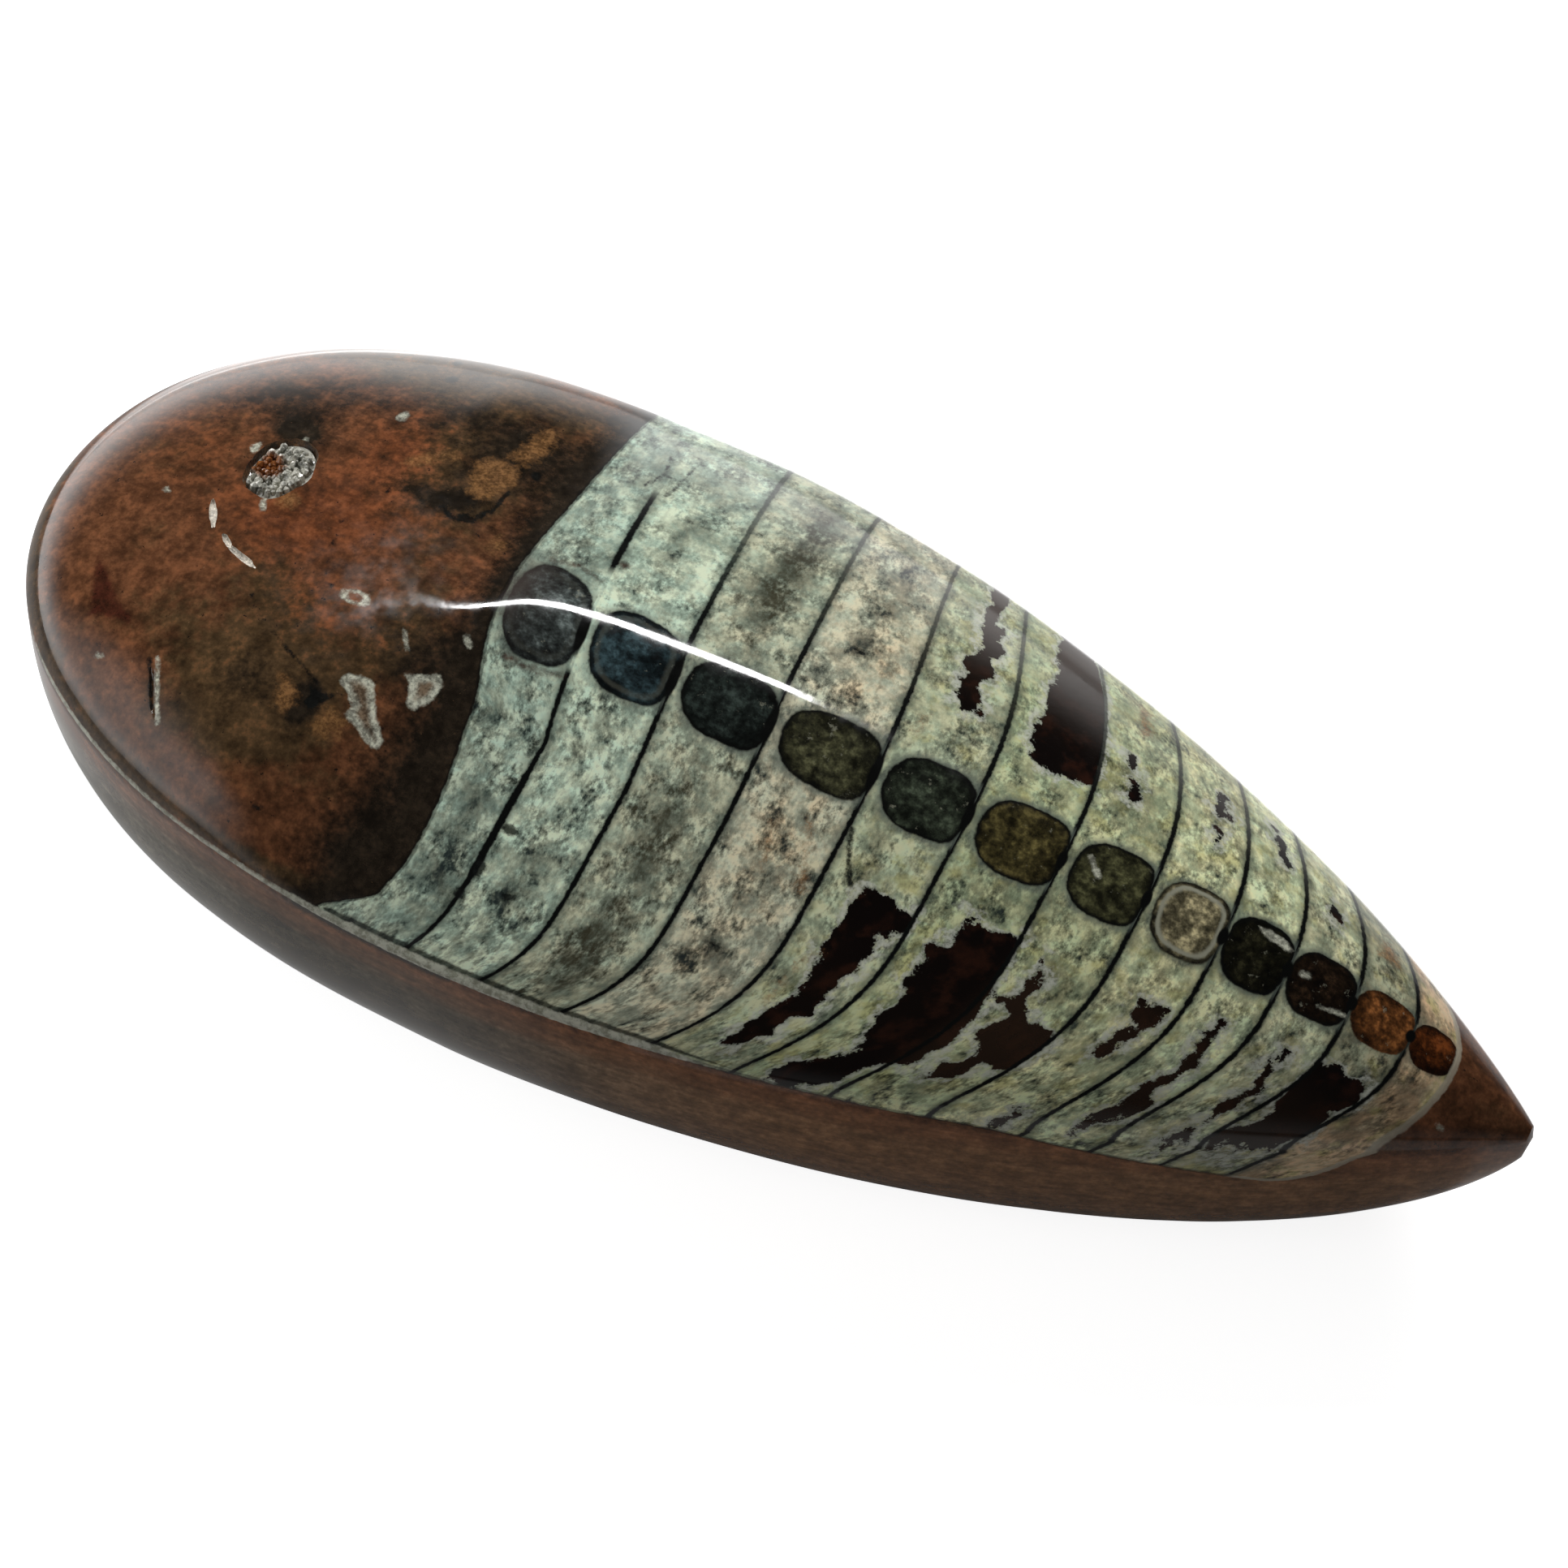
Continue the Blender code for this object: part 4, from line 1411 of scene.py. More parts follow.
@dataclass(frozen=True)
class StoneFinish:
    """The polished stone: the limestone, and the fossil's calcite, beads, septa and cavities."""

    limestone: LimestoneFinish = LimestoneFinish()
    calcite: CalciteFinish = CalciteFinish()
    beads: BeadFinish = BeadFinish()
    wall: Colour = srgb(198, 198, 182)
    wall_shade: Colour = srgb(142, 142, 126)
    shell_end: Colour = srgb(168, 160, 142)
    smoothest: float = 0.06
    roughest: float = 0.12
    bump_strength: float = 0.1
    bump_depth: float = 0.05
    refraction: float = 1.5

    def make(self, effects: Effects) -> Material:
        """Return the material.

        Args:
            effects: The shared node groups.

        Returns:
            The polished stone's material.
        """
        material, graph, shader = new_material("polished_stone")
        place = graph.place()
        rock = self.limestone.colour(graph, effects, place)
        colour = graph.mix(self._inside(graph, place), rock, self._fossil(graph, effects))
        colour = self._outlines(graph, place, colour)
        colour = self.limestone.marks(graph, effects, place, colour)
        graph.feed(shader.inputs["Base Color"], colour)
        polish = graph.group(effects.polish, place=place, smoothest=self.smoothest, roughest=self.roughest)
        graph.feed(shader.inputs["Roughness"], polish.outputs["Roughness"])
        graph.bump(shader, polish.outputs["Height"], self.bump_strength, self.bump_depth)
        shader.inputs["IOR"].default_value = self.refraction
        return material

    def _inside(self, graph: Graph, place: Socket) -> Socket:
        """Return 1 inside the shell's outline and 0 outside."""
        wobble = graph.wobble(place, 0.8, 4.0, 0.6, 0.5)
        return graph.step(graph.plus(graph.field(Field.FOSSIL), wobble), -0.08, 0.08)

    def _fossil(self, graph: Graph, effects: Effects) -> Socket:
        """Return the colour of the chambers with their cavities, septa and beads.

        Args:
            graph: The material's graph.
            effects: The shared node groups.

        Returns:
            The colour.
        """
        growth = graph.node("ShaderNodeAttribute", attribute_name=Field.GROWTH.value).outputs["Vector"]
        chamber = graph.field(Field.CHAMBER)
        septum = graph.minus(chamber, graph.math("ROUND", chamber))
        septum = graph.size_of(graph.times(septum, graph.field(Field.CHAMBER_LENGTH)))
        colour = self.calcite.colour(graph, effects, growth, chamber)
        colour, line = self.calcite.septa(graph, growth, septum, colour)
        colour = self.calcite.cavities(graph, growth, septum, colour)
        colour = graph.mix(line, colour, self.calcite.ink)
        colour = self.beads.over(graph, effects, growth, chamber, septum, colour)
        # Painted sheen, partly the stone's own grey: a purple-grey haze over the fossil around the start of the
        # ridge's highlight.
        dusk_and_sheen = graph.fields(Field.STAIN)[2]
        return graph.over(colour, self.calcite.dusk_and_sheen, dusk_and_sheen, 0.8)

    def _outlines(self, graph: Graph, place: Socket, colour: Socket) -> Socket:
        """Return a colour with the mouth's dark line and the shell's pale cut edge laid over it.

        Args:
            graph: The material's graph.
            place: The place on the piece.
            colour: The colour beneath.

        Returns:
            The colour with its lines.
        """
        depth = graph.field(Field.FOSSIL)
        wobble = graph.wobble(place, 1.2, 3.0, 0.6, 0.3)
        close = graph.plus(graph.size_of(depth), wobble)
        at_end = graph.step(graph.field(Field.CHAMBER), 10.9, 11.2)
        tint = graph.mix(at_end, self.calcite.ink, self.shell_end)
        line = graph.times(graph.step(close, 0.3, 0.14), graph.scaled(at_end, 0.2, 0.6))
        colour = graph.mix(line, colour, tint)
        wall = graph.plus(graph.field(Field.WALL), wobble)
        seam = graph.size_of(graph.minus(wall, -0.12))
        inner = graph.times(graph.step(seam, 0.28, 0.1), graph.step(depth, 0.3, 0.5))
        colour = graph.over(colour, self.calcite.ink, inner, 0.85)
        shaded = graph.patches(place, 1.3, 4.0, 0.7, (0.4, 0.62))
        mottled = graph.mix(shaded, self.wall, self.wall_shade)
        return graph.mix(graph.times(graph.step(wall, -0.08, 0.1), 0.88), colour, mottled)


@dataclass(frozen=True)
class BruiseFinish:
    """Crushed or raw stone where the polish is broken: white in the nicks, brown in the hollow."""

    name: str
    light: Colour
    stained: Colour
    balance: float
    roughness: float = 0.42
    bump_fineness: float = 4.0
    bump_strength: float = 0.6
    bump_depth: float = 0.2

    def make(self, effects: Effects) -> Material:
        """Return the material.

        Args:
            effects: The shared node groups.

        Returns:
            The broken stone's material.
        """
        material, graph, shader = new_material(self.name)
        place = graph.place()
        clouded = graph.group(
            effects.mottle, place=place, scale=0.9, balance=self.balance, first=self.light, second=self.stained
        )
        grain = graph.group(effects.grain, place=place, scale=1.2, contrast=5.0, bias=0.0, ceiling=0.5)
        light = grain.outputs["Light"]
        colour = graph.lit(clouded.outputs["Color"], light)
        graph.feed(shader.inputs["Base Color"], colour)
        shader.inputs["Roughness"].default_value = self.roughness
        close = graph.stretched(place, (self.bump_fineness,) * 3)
        polish = graph.group(effects.polish, place=close, smoothest=0.3, roughest=0.6)
        graph.bump(shader, polish.outputs["Height"], self.bump_strength, self.bump_depth)
        return material


@dataclass(frozen=True)
class CrystalFinish:
    """The crust's glassy crystals, white at one side and stained orange in the middle, with painted glints."""

    clear: Colour = srgb(214, 212, 200)
    grey: Colour = srgb(84, 84, 74)
    orange: Colour = srgb(138, 84, 44)
    # Painted glints: near-white specks in the crystals' colour.
    painted_glint: Colour = srgb(244, 244, 238)
    roughness: float = 0.12
    refraction: float = 1.55

    def make(self, effects: Effects, stain_centre: Vector) -> Material:
        """Return the material.

        Args:
            effects: The shared node groups.
            stain_centre: Where the orange stain is, in metres.

        Returns:
            The crystals' material.
        """
        material, graph, shader = new_material("crystals")
        place = graph.place()
        clouded = graph.group(
            effects.mottle, place=place, scale=0.8, balance=-0.02, first=self.clear, second=self.grey
        )
        gap = graph.node("ShaderNodeVectorMath", {0: place}, operation="DISTANCE")
        gap.inputs[1].default_value = stain_centre / MM
        ragged = graph.scaled(graph.noise(place, 1.2, 4.0, 0.6), 1.6, gap.outputs["Value"])
        colour = graph.mix(graph.step(ragged, 2.8, 1.9), clouded.outputs["Color"], self.orange)
        # Painted glints: white specks laid into the colour for the glints off the crystal faces.
        painted_glint = graph.group(effects.speckle, place=place, scale=1.8, amount=0.2, softness=0.05)
        colour = graph.over(colour, self.painted_glint, painted_glint.outputs["Mask"], 0.6)
        graph.feed(shader.inputs["Base Color"], colour)
        shader.inputs["Roughness"].default_value = self.roughness
        shader.inputs["IOR"].default_value = self.refraction
        return material


# ---- The pieces.


def new_object(name: str, data: ID) -> Object:
    """Return a new object, linked to the scene.

    Args:
        name: The object's name.
        data: Its mesh, light or camera.

    Returns:
        The object.
    """
    made = bpy.data.objects.new(name, data)
    bpy.context.scene.collection.objects.link(made)
    return made


def new_mesh(name: str, work: BMesh) -> Mesh:
    """Return a new mesh from a worked one, and free the worked one.

    Args:
        name: The mesh's name.
        work: The worked mesh.

    Returns:
        The mesh.
    """
    mesh = bpy.data.meshes.new(name)
    work.to_mesh(mesh)
    work.free()
    return mesh


def ellipsoid(name: str, placed: Matrix, halves: Triple, rough: float, surface: Surface) -> Object:
    """Return a rough ellipsoid to cut with.

    Args:
        name: The object's name.
        placed: Its frame, in metres.
        halves: Its half sizes along the frame's axes, in millimetres.
        rough: How far its points stray, as a share of its size.
        surface: The surface that it leaves.

    Returns:
        The cutter.
    """
    chance = random.Random(name)
    phases = [chance.uniform(0.0, 2.0 * math.pi) for _ in range(6)]
    work = bmesh.new()
    bmesh.ops.create_icosphere(work, subdivisions=4, radius=1.0)
    for vertex in work.verts:
        x, y, z = vertex.co
        wave = math.sin(5.0 * x + phases[0]) * math.sin(4.0 * y + phases[1])
        wave += 0.6 * math.sin(9.0 * y + phases[2]) * math.sin(8.0 * z + phases[3] + 3.0 * x)
        wave += 0.4 * math.sin(17.0 * x + phases[4]) * math.sin(15.0 * y + phases[5])
        vertex.co *= 1.0 + rough * wave
    work.transform(placed @ Matrix.Diagonal((*(half * MM for half in halves), 1.0)))
    for face in work.faces:
        face.material_index = surface.value
    return new_object(name, new_mesh(name, work))


@dataclass(frozen=True)
class Nick:
    """A shallow scar in the polish, from one (station, offset) point to another."""

    name: str
    start: Point
    end: Point
    width: float
    depth: float
    surface: Surface = Surface.NICKED


@dataclass(frozen=True)
class Hollow:
    """The natural hollow near the head."""

    station: float = 20.5
    offset: float = 4.8
    half_length: float = 3.2
    half_breadth: float = 4.2
    depth: float = 2.4

    def frame(self, form: StoneForm) -> Matrix:
        """Return the hollow's frame on the top."""
        return form.top_frame((self.station - 1.0, self.offset), (self.station + 1.0, self.offset))


@dataclass
class PolishedStone:
    """The stone itself, on a fine mesh that carries the fossil's fields."""

    form: StoneForm
    shell: Shell
    hollow: Hollow
    rings: int = 392
    top_points: int = 168
    hull_points: int = 66
    ridge_crowding: float = 2.5
    ridge_crowd_width: float = 1.6
    waviness: float = 0.07
    hollow_roughness: float = 0.045
    nick_roughness: float = 0.1
    marks_reach_below: float = 6.0
    sharp_angle: float = math.radians(32.0)
    nicks: tuple[Nick, ...] = (
        Nick("nick_front", (16.9, -1.3), (18.9, -4.5), 0.75, 0.3),
        Nick("nick_middle", (20.1, -4.7), (21.6, -6.0), 0.6, 0.3),
        Nick("nick_rear", (21.3, -5.8), (24.9, -7.2), 0.7, 0.3),
        Nick("groove", (21.5, -19.7), (24.9, -24.8), 0.8, 0.3, Surface.POLISHED),
    )
    piece: Object | None = field(default=None, init=False)

    def build(self, finishes: dict[Surface, Material]) -> Object:
        """Build the stone and dress it.

        Args:
            finishes: The material of each surface.

        Returns:
            The finished piece.
        """
        mesh = self._blank()
        self._wave(mesh)
        for surface in Surface:
            mesh.materials.append(finishes[surface])
        blank = new_object("blank_stone", mesh)
        cut = self._carve(blank)
        self._paint(cut)
        cut.shade_smooth()
        cut.set_sharp_from_angle(angle=self.sharp_angle)
        self.piece = new_object("stone_polished", cut)
        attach(self.piece, "root")
        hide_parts("stone")
        return self.piece

    def _stations(self) -> Array:
        """Return the rings' stations, evenly spread along the stone's outline."""
        fine = self.form.length * (1.0 - np.cos(np.linspace(0.0, np.pi, 6000))) / 2.0
        return evenly(fine, np.hypot(np.diff(fine), np.diff(self.form.width(fine))), self.rings)[1:-1]

    def _spread(self, section: Section, count: int) -> Array:
        """Return section angles from shoulder to middle, evenly spread and crowded at the ridge.

        Args:
            section: Which section formula they are for.
            count: How many steps there are.

        Returns:
            The angles, the first of them 0 and the last a quarter turn.
        """
        fine = np.pi / 2 * np.linspace(0.0, 1.0, 5000) ** 2
        if section is Section.ARCH:
            fine = np.linspace(0.0, np.pi / 2, 5000)
        station = np.full_like(fine, self.form.length / 2)
        across, height = self.form.points(section, station, fine, Side.FAR)
        steps = np.hypot(np.diff(across), np.diff(height))
        if section is Section.ARCH:
            to_ridge = across[1:] - across[-1]
            steps = steps * (1.0 + self.ridge_crowding * np.exp(-((to_ridge / self.ridge_crowd_width) ** 2)))
        return evenly(fine, steps, count)

    def _blank(self) -> Mesh:
        """Return the stone's mesh before any cut.

        Returns:
            The mesh, closed and facing outwards.
        """
        stations = self._stations()
        climbs = self._spread(Section.ARCH, self.top_points // 2)
        drops = self._spread(Section.HULL, self.hull_points // 2)
        parts = (
            (Section.ARCH, climbs, Side.FAR),
            (Section.ARCH, climbs[-2::-1], Side.NEAR),
            (Section.HULL, drops[1:], Side.NEAR),
            (Section.HULL, drops[-2:0:-1], Side.FAR),
        )
        columns = []
        for section, angles, side in parts:
            for angle in angles:
                column = self.form.points(section, stations, np.full_like(stations, angle), side)
                columns.append(np.stack((stations, *column), axis=1))
        grid = np.stack(columns, axis=1)
        count = grid.shape[1]
        ends = np.array([[0.0, 0.0, 0.0], [self.form.length, *grid[-1].mean(axis=0)[1:]]])
        points = np.concatenate((grid.reshape(-1, 3), ends))
        points = (points + np.array([-self.form.length / 2, 0.0, self.form.base_depth])) * MM
        ring = np.arange(count)
        following = np.roll(ring, -1)
        faces = []
        for start in range(0, (len(stations) - 1) * count, count):
            after = start + count
            quads = np.stack((ring + start, ring + after, following + after, following + start), axis=1)
            faces.extend(quads.tolist())
        head = len(points) - 2
        last = (len(stations) - 1) * count
        faces.extend([head, int(a), int(b)] for a, b in zip(ring, following))
        faces.extend([head + 1, int(b) + last, int(a) + last] for a, b in zip(ring, following))
        mesh = bpy.data.meshes.new("stone_polished")
        mesh.from_pydata(points.tolist(), [], faces)
        work = bmesh.new()
        work.from_mesh(mesh)
        bmesh.ops.recalc_face_normals(work, faces=work.faces)
        work.to_mesh(mesh)
        work.free()
        return mesh

    def _wave(self, mesh: Mesh) -> None:
        """Give the hand-ground surface its slight waves, fading out at the flat base and the tip.

        Args:
            mesh: The mesh to change.
        """
        count = len(mesh.vertices)
        points = np.empty(count * 3)
        mesh.vertices.foreach_get("co", points)
        points = points.reshape(-1, 3)
        normals = np.empty(count * 3)
        mesh.vertex_normals.foreach_get("vector", normals)
        x, y, z = (points / MM).T
        waves = np.sin(x / 5.1 + 0.9 * np.sin(y / 7.0)) * np.cos(y / 6.3 + 0.5)
        waves += 0.6 * np.sin(x / 2.9 + y / 4.4 + 1.0) * np.sin(z / 5.0 + 0.3)
        fade = smooth_step(z, 0.5, 4.0) * smooth_step(self.form.length / 2 - x, 1.0, 12.0)
        points += normals.reshape(-1, 3) * (self.waviness * MM * fade * (waves - 1.0) / 2.0)[:, None]
        mesh.vertices.foreach_set("co", points.ravel())
        mesh.update()

    def _carve(self, blank: Object) -> Mesh:
        """Return the mesh with the hollow and the nicks cut out, and clear the cutters away.

        Args:
            blank: The uncut stone, which is removed too.

        Returns:
            The cut mesh.
        """
        halves = (self.hollow.half_length, self.hollow.half_breadth, self.hollow.depth)
        placed = self.hollow.frame(self.form)
        rough = self.hollow_roughness
        cutters = [ellipsoid("hollow_cutter", placed, halves, rough, Surface.HOLLOWED)]
        for nick in self.nicks:
            length = (Vector(nick.end) - Vector(nick.start)).length
            placed = self.form.top_frame(nick.start, nick.end)
            halves = (length / 2, nick.width / 2, nick.depth)
            cutters.append(ellipsoid(nick.name, placed, halves, self.nick_roughness, nick.surface))
        for cutter in cutters:
            modifier = blank.modifiers.new(cutter.name, "BOOLEAN")
            modifier.operation = "DIFFERENCE"
            modifier.solver = "EXACT"
            modifier.object = cutter
        evaluated = blank.evaluated_get(bpy.context.evaluated_depsgraph_get())
        cut = bpy.data.meshes.new_from_object(evaluated)
        cut.name = "stone_polished"
        for stale in (blank, *cutters):
            bpy.data.objects.remove(stale, do_unlink=True)
        return cut

    def _paint(self, mesh: Mesh) -> None:
        """Store the fossil's fields on the mesh.

        Args:
            mesh: The cut mesh.
        """
        points = np.empty(len(mesh.vertices) * 3)
        mesh.vertices.foreach_get("co", points)
        x, y, z = (points.reshape(-1, 3) / MM).T
        station = x + self.form.length / 2
        height = z - self.form.base_depth
        places = np.stack((station, y), axis=1)
        growth = self.shell.growth(station, self.shell.unrolled(station, y, height))
        chamber = self.shell.chamber(growth)
        grown = np.stack((growth, y), axis=1)
        fossil = self.shell.depth(station, y, height)
        top = height > -self.marks_reach_below
        fields = {
            Field.GROWTH: np.stack((growth, y, height), axis=1),
            Field.TONE: self._tones(places, height, fossil, top),
            Field.STAIN: np.stack([gathered(clouds, places) for clouds in (SMUDGES, BLUSHES, DUSKS_AND_SHEEN)], axis=1),
            Field.CHAMBER: chamber,
            Field.CHAMBER_LENGTH: self.shell.chamber_length(growth),
            Field.SEPTUM: self._septum_strength(y, chamber),
            Field.FOSSIL: fossil,
            Field.WALL: self.shell.wall(station, y, height),
            Field.DROP: self.form.shoulder_height(station) - height,
            Field.BEAD: self.shell.bead(station, y),
            Field.CAVITY: deepest(tuple(self._grown(mark) for mark in CAVITIES), grown, top),
            Field.PALE: deepest(PALE_MARKS, places, top),
            Field.OCHRE: deepest(OCHRE_MARKS, places, top),
            Field.DARK: deepest(DARK_MARKS, places, top),
            Field.MAROON: deepest(MAROON_MARKS, places, top),
        }
        for wanted, values in fields.items():
            kind, name = ("FLOAT_VECTOR", "vector") if values.ndim == 2 else ("FLOAT", "value")
            attribute = mesh.attributes.new(wanted.value, kind, "POINT")
            attribute.data.foreach_set(name, values.astype(np.float32).ravel())

    def _tones(self, places: Array, height: Array, fossil: Array, top: Array) -> Array:
        """Return how olive, how shaded and how rusty the rock is at each place.

        Args:
            places: Rows of station and offset.
            height: Heights above the girdle.
            fossil: How deep each place lies inside the shell's outline.
            top: Which places lie high enough for marks.

        Returns:
            Rows of the three shares.
        """
        station, offset = places.T
        shaded_edge = 0.9 * np.exp(-((fossil / 2.6) ** 2)) * (fossil < 0.5) * (station < 60.0)
        shaded_side = 0.3 * smooth_step(-height, 2.0, 9.0)
        above_shoulder = height - self.form.shoulder_height(station)
        green_band = 0.7 * np.exp(-(((above_shoulder - 1.1) / 0.8) ** 2)) * (offset < 0.0) * (station < 50.0)
        olive = gathered(OLIVES, places) * top + 0.5 * (~top) + green_band
        shade = np.clip(gathered(SHADES, places) * top + shaded_edge + shaded_side, 0.0, 1.0)
        return np.stack((olive, shade, gathered(RUSTS, places) * top), axis=1)

    def _septum_strength(self, offset: Array, chamber: Array) -> Array:
        """Return how strongly a septum is drawn, thicker above 1: the first is broken, the last isn't drawn.

        Args:
            offset: Distances from the centre line.
            chamber: Chamber coordinates.

        Returns:
            The strengths.
        """
        thick_part = smooth_step(-offset, 13.0, 17.0) * smooth_step(offset, -27.0, -24.0)
        near_first = smooth_step(-offset, 4.2, 5.0) * (1.0 + 0.45 * thick_part)
        far_first = 1.3 * smooth_step(offset, 6.0, 8.5) * smooth_step(-offset, -20.5, -18.0)
        first = (near_first + far_first) * smooth_step(chamber, 0.4, 0.6)
        later = smooth_step(chamber, 1.4, 1.6)
        drawn = first + later * (1.0 - first - smooth_step(chamber, 11.4, 11.6))
        return drawn * (1.0 - 0.25 * smooth_step(offset, 5.0, 20.0))

    def _grown(self, mark: Mark) -> Mark:
        """Return a mark with its points in growth stations, and on the septum where they are close to one.

        Args:
            mark: A mark in plain stations.

        Returns:
            The mark to measure in growth stations.
        """
        if isinstance(mark, Patch):
            return Patch(tuple(self._on_septum(point) for point in mark.outline))
        if isinstance(mark, Streak):
            path = np.asarray(mark.path)
            grown = self.shell.growth(path[:, 0], path[:, 1])
            return Streak(tuple(zip(grown.tolist(), path[:, 1].tolist())), mark.half_width)
        return mark

    def _on_septum(self, point: Point) -> Point:
        """Return an outline's point in growth stations, just short of the septum where it is close to one.

        Args:
            point: Station and offset.

        Returns:
            The point to measure in growth stations.
        """
        grown = float(self.shell.growth(np.array([point[0]]), np.array([point[1]]))[0])
        nearest = min(self.shell.septa, key=lambda septum: abs(septum - grown))
        short = 0.1 if grown <= nearest else -0.1
        if abs(nearest - grown) < 0.8:
            return nearest - short, point[1]
        return grown, point[1]


@dataclass
class CrystalCrust:
    """The crust of small crystals that lines the hollow."""

    form: StoneForm
    hollow: Hollow
    bed_depth: float = 0.85
    gap: float = 0.2
    spacing: float = 0.5
    least_size: float = 0.16
    greatest_size: float = 0.42
    lean: float = math.radians(34.0)
    rooted: float = 0.25
    rim_gap: float = 0.4
    stain_along: float = -1.3
    seed: int = 41

    def build(self, effects: Effects, finish: CrystalFinish) -> Object:
        """Build the crust and dress it.

        Args:
            effects: The shared node groups.
            finish: The crystals' finish.

        Returns:
            The finished piece.
        """
        placed = self.hollow.frame(self.form)
        chance = random.Random(self.seed)
        work = bmesh.new()
        self._bed(work, chance)
        for along, across, rim in self._places(chance):
            self._crystal(work, chance, along, across, rim)
        work.transform(placed @ Matrix.Scale(MM, 4))
        bmesh.ops.recalc_face_normals(work, faces=work.faces)
        mesh = new_mesh("crystal_crust_dressed", work)
        mesh.materials.append(finish.make(effects, placed @ Vector((self.stain_along * MM, 0.0, 0.0))))
        piece = new_object("crystal_crust_dressed", mesh)
        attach(piece, "root")
        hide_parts("crystal_crust")
        return piece

    def _bed(self, work: BMesh, chance: random.Random) -> None:
        """Add the lens of stone that the crystals stand on.

        Args:
            work: The mesh to add to.
            chance: The source of random draws.
        """
        made = bmesh.ops.create_uvsphere(work, u_segments=40, v_segments=20, radius=1.0)
        sizes = (self.hollow.half_length, self.hollow.half_breadth, self.hollow.depth)
        halves = [size - self.gap for size in sizes]
        for vertex in made["verts"]:
            jitter = 1.0 - 0.03 * chance.random()
            vertex.co = Vector(a * b for a, b in zip(vertex.co, halves)) * jitter
            if vertex.co.z > -self.bed_depth:
                vertex.co.z = -self.bed_depth + 0.12 * chance.random()

    def _places(self, chance: random.Random) -> list[Triple]:
        """Return the crystals' places as (along, across, how near the rim).

        Args:
            chance: The source of random draws.

        Returns:
            The places, each within the rim.
        """
        rows = int(self.hollow.half_length / self.spacing) + 1
        columns = int(self.hollow.half_breadth / self.spacing) + 1
        half_length = self.hollow.half_length - self.rim_gap
        half_breadth = self.hollow.half_breadth - self.rim_gap
        places = []
        for row in range(-rows, rows + 1):
            for column in range(-columns, columns + 1):
                along = (row + chance.uniform(-0.4, 0.4)) * self.spacing
                across = (column + chance.uniform(-0.4, 0.4)) * self.spacing
                reach = math.hypot(along / half_length, across / half_breadth)
                if reach < 1.0:
                    places.append((along, across, reach))
        return places

    def _crystal(self, work: BMesh, chance: random.Random, along: float, across: float, rim: float) -> None:
        """Add one six-sided crystal with a pointed end, taller towards the rim.

        Args:
            work: The mesh to add to.
            chance: The source of random draws.
            along: Its place along the hollow's frame.
            across: Its place across that frame.
            rim: How near the rim it is, up to 1.
        """
        size = chance.uniform(self.least_size, self.greatest_size)
        length = 0.45 + 0.45 * rim + chance.uniform(-0.15, 0.2)
        turn = Matrix.Rotation(chance.uniform(0.0, math.pi), 4, "Z")
        lean_axis = Vector((-across, along, 0.0)).normalized() if rim > 0.05 else Vector((1.0, 0.0, 0.0))
        tilt = Matrix.Rotation(-self.lean * rim + chance.uniform(-0.35, 0.35), 4, lean_axis)
        tilt = tilt @ Matrix.Rotation(chance.uniform(-0.3, 0.3), 4, "X")
        seat = Matrix.Translation((along, across, -self.bed_depth - self.rooted))
        prism = (size * 0.9, size, length, length / 2)
        point = (size, size * 0.12, size * 0.8, length + size * 0.4)
        for base, top, depth, middle in (prism, point):
            bmesh.ops.create_cone(
                work,
                cap_ends=True,
                segments=6,
                radius1=base,
                radius2=top,
                depth=depth,
                matrix=seat @ tilt @ turn @ Matrix.Translation((0.0, 0.0, middle)),
            )


# ---- The studio.


@dataclass(frozen=True)
class Lamp:
    """A soft rectangular light that faces the object, longest along X, and may be shifted along it."""

    name: str
    direction: Triple
    distance: float
    length: float
    breadth: float
    shift: float
    power: float
    mirrored: bool = True


@dataclass(frozen=True)
class Viewpoint:
    """Where the camera is: angles in degrees, distances in metres."""

    azimuth: float = 22.5545
    elevation: float = 54.8653
    roll: float = 5.7184
    distance: float = 0.45
    shift_right: float = 0.000915
    shift_up: float = 0.000533
    lens: float = 113.59
    sensor_width: float = 36.0


@dataclass(frozen=True)
class Glow:
    """A soft bright part of the sky: where it is, how wide, and how bright."""

    heading: Triple
    headings_span: Span
    heights: tuple[float, float, float, float]
    brightness: float


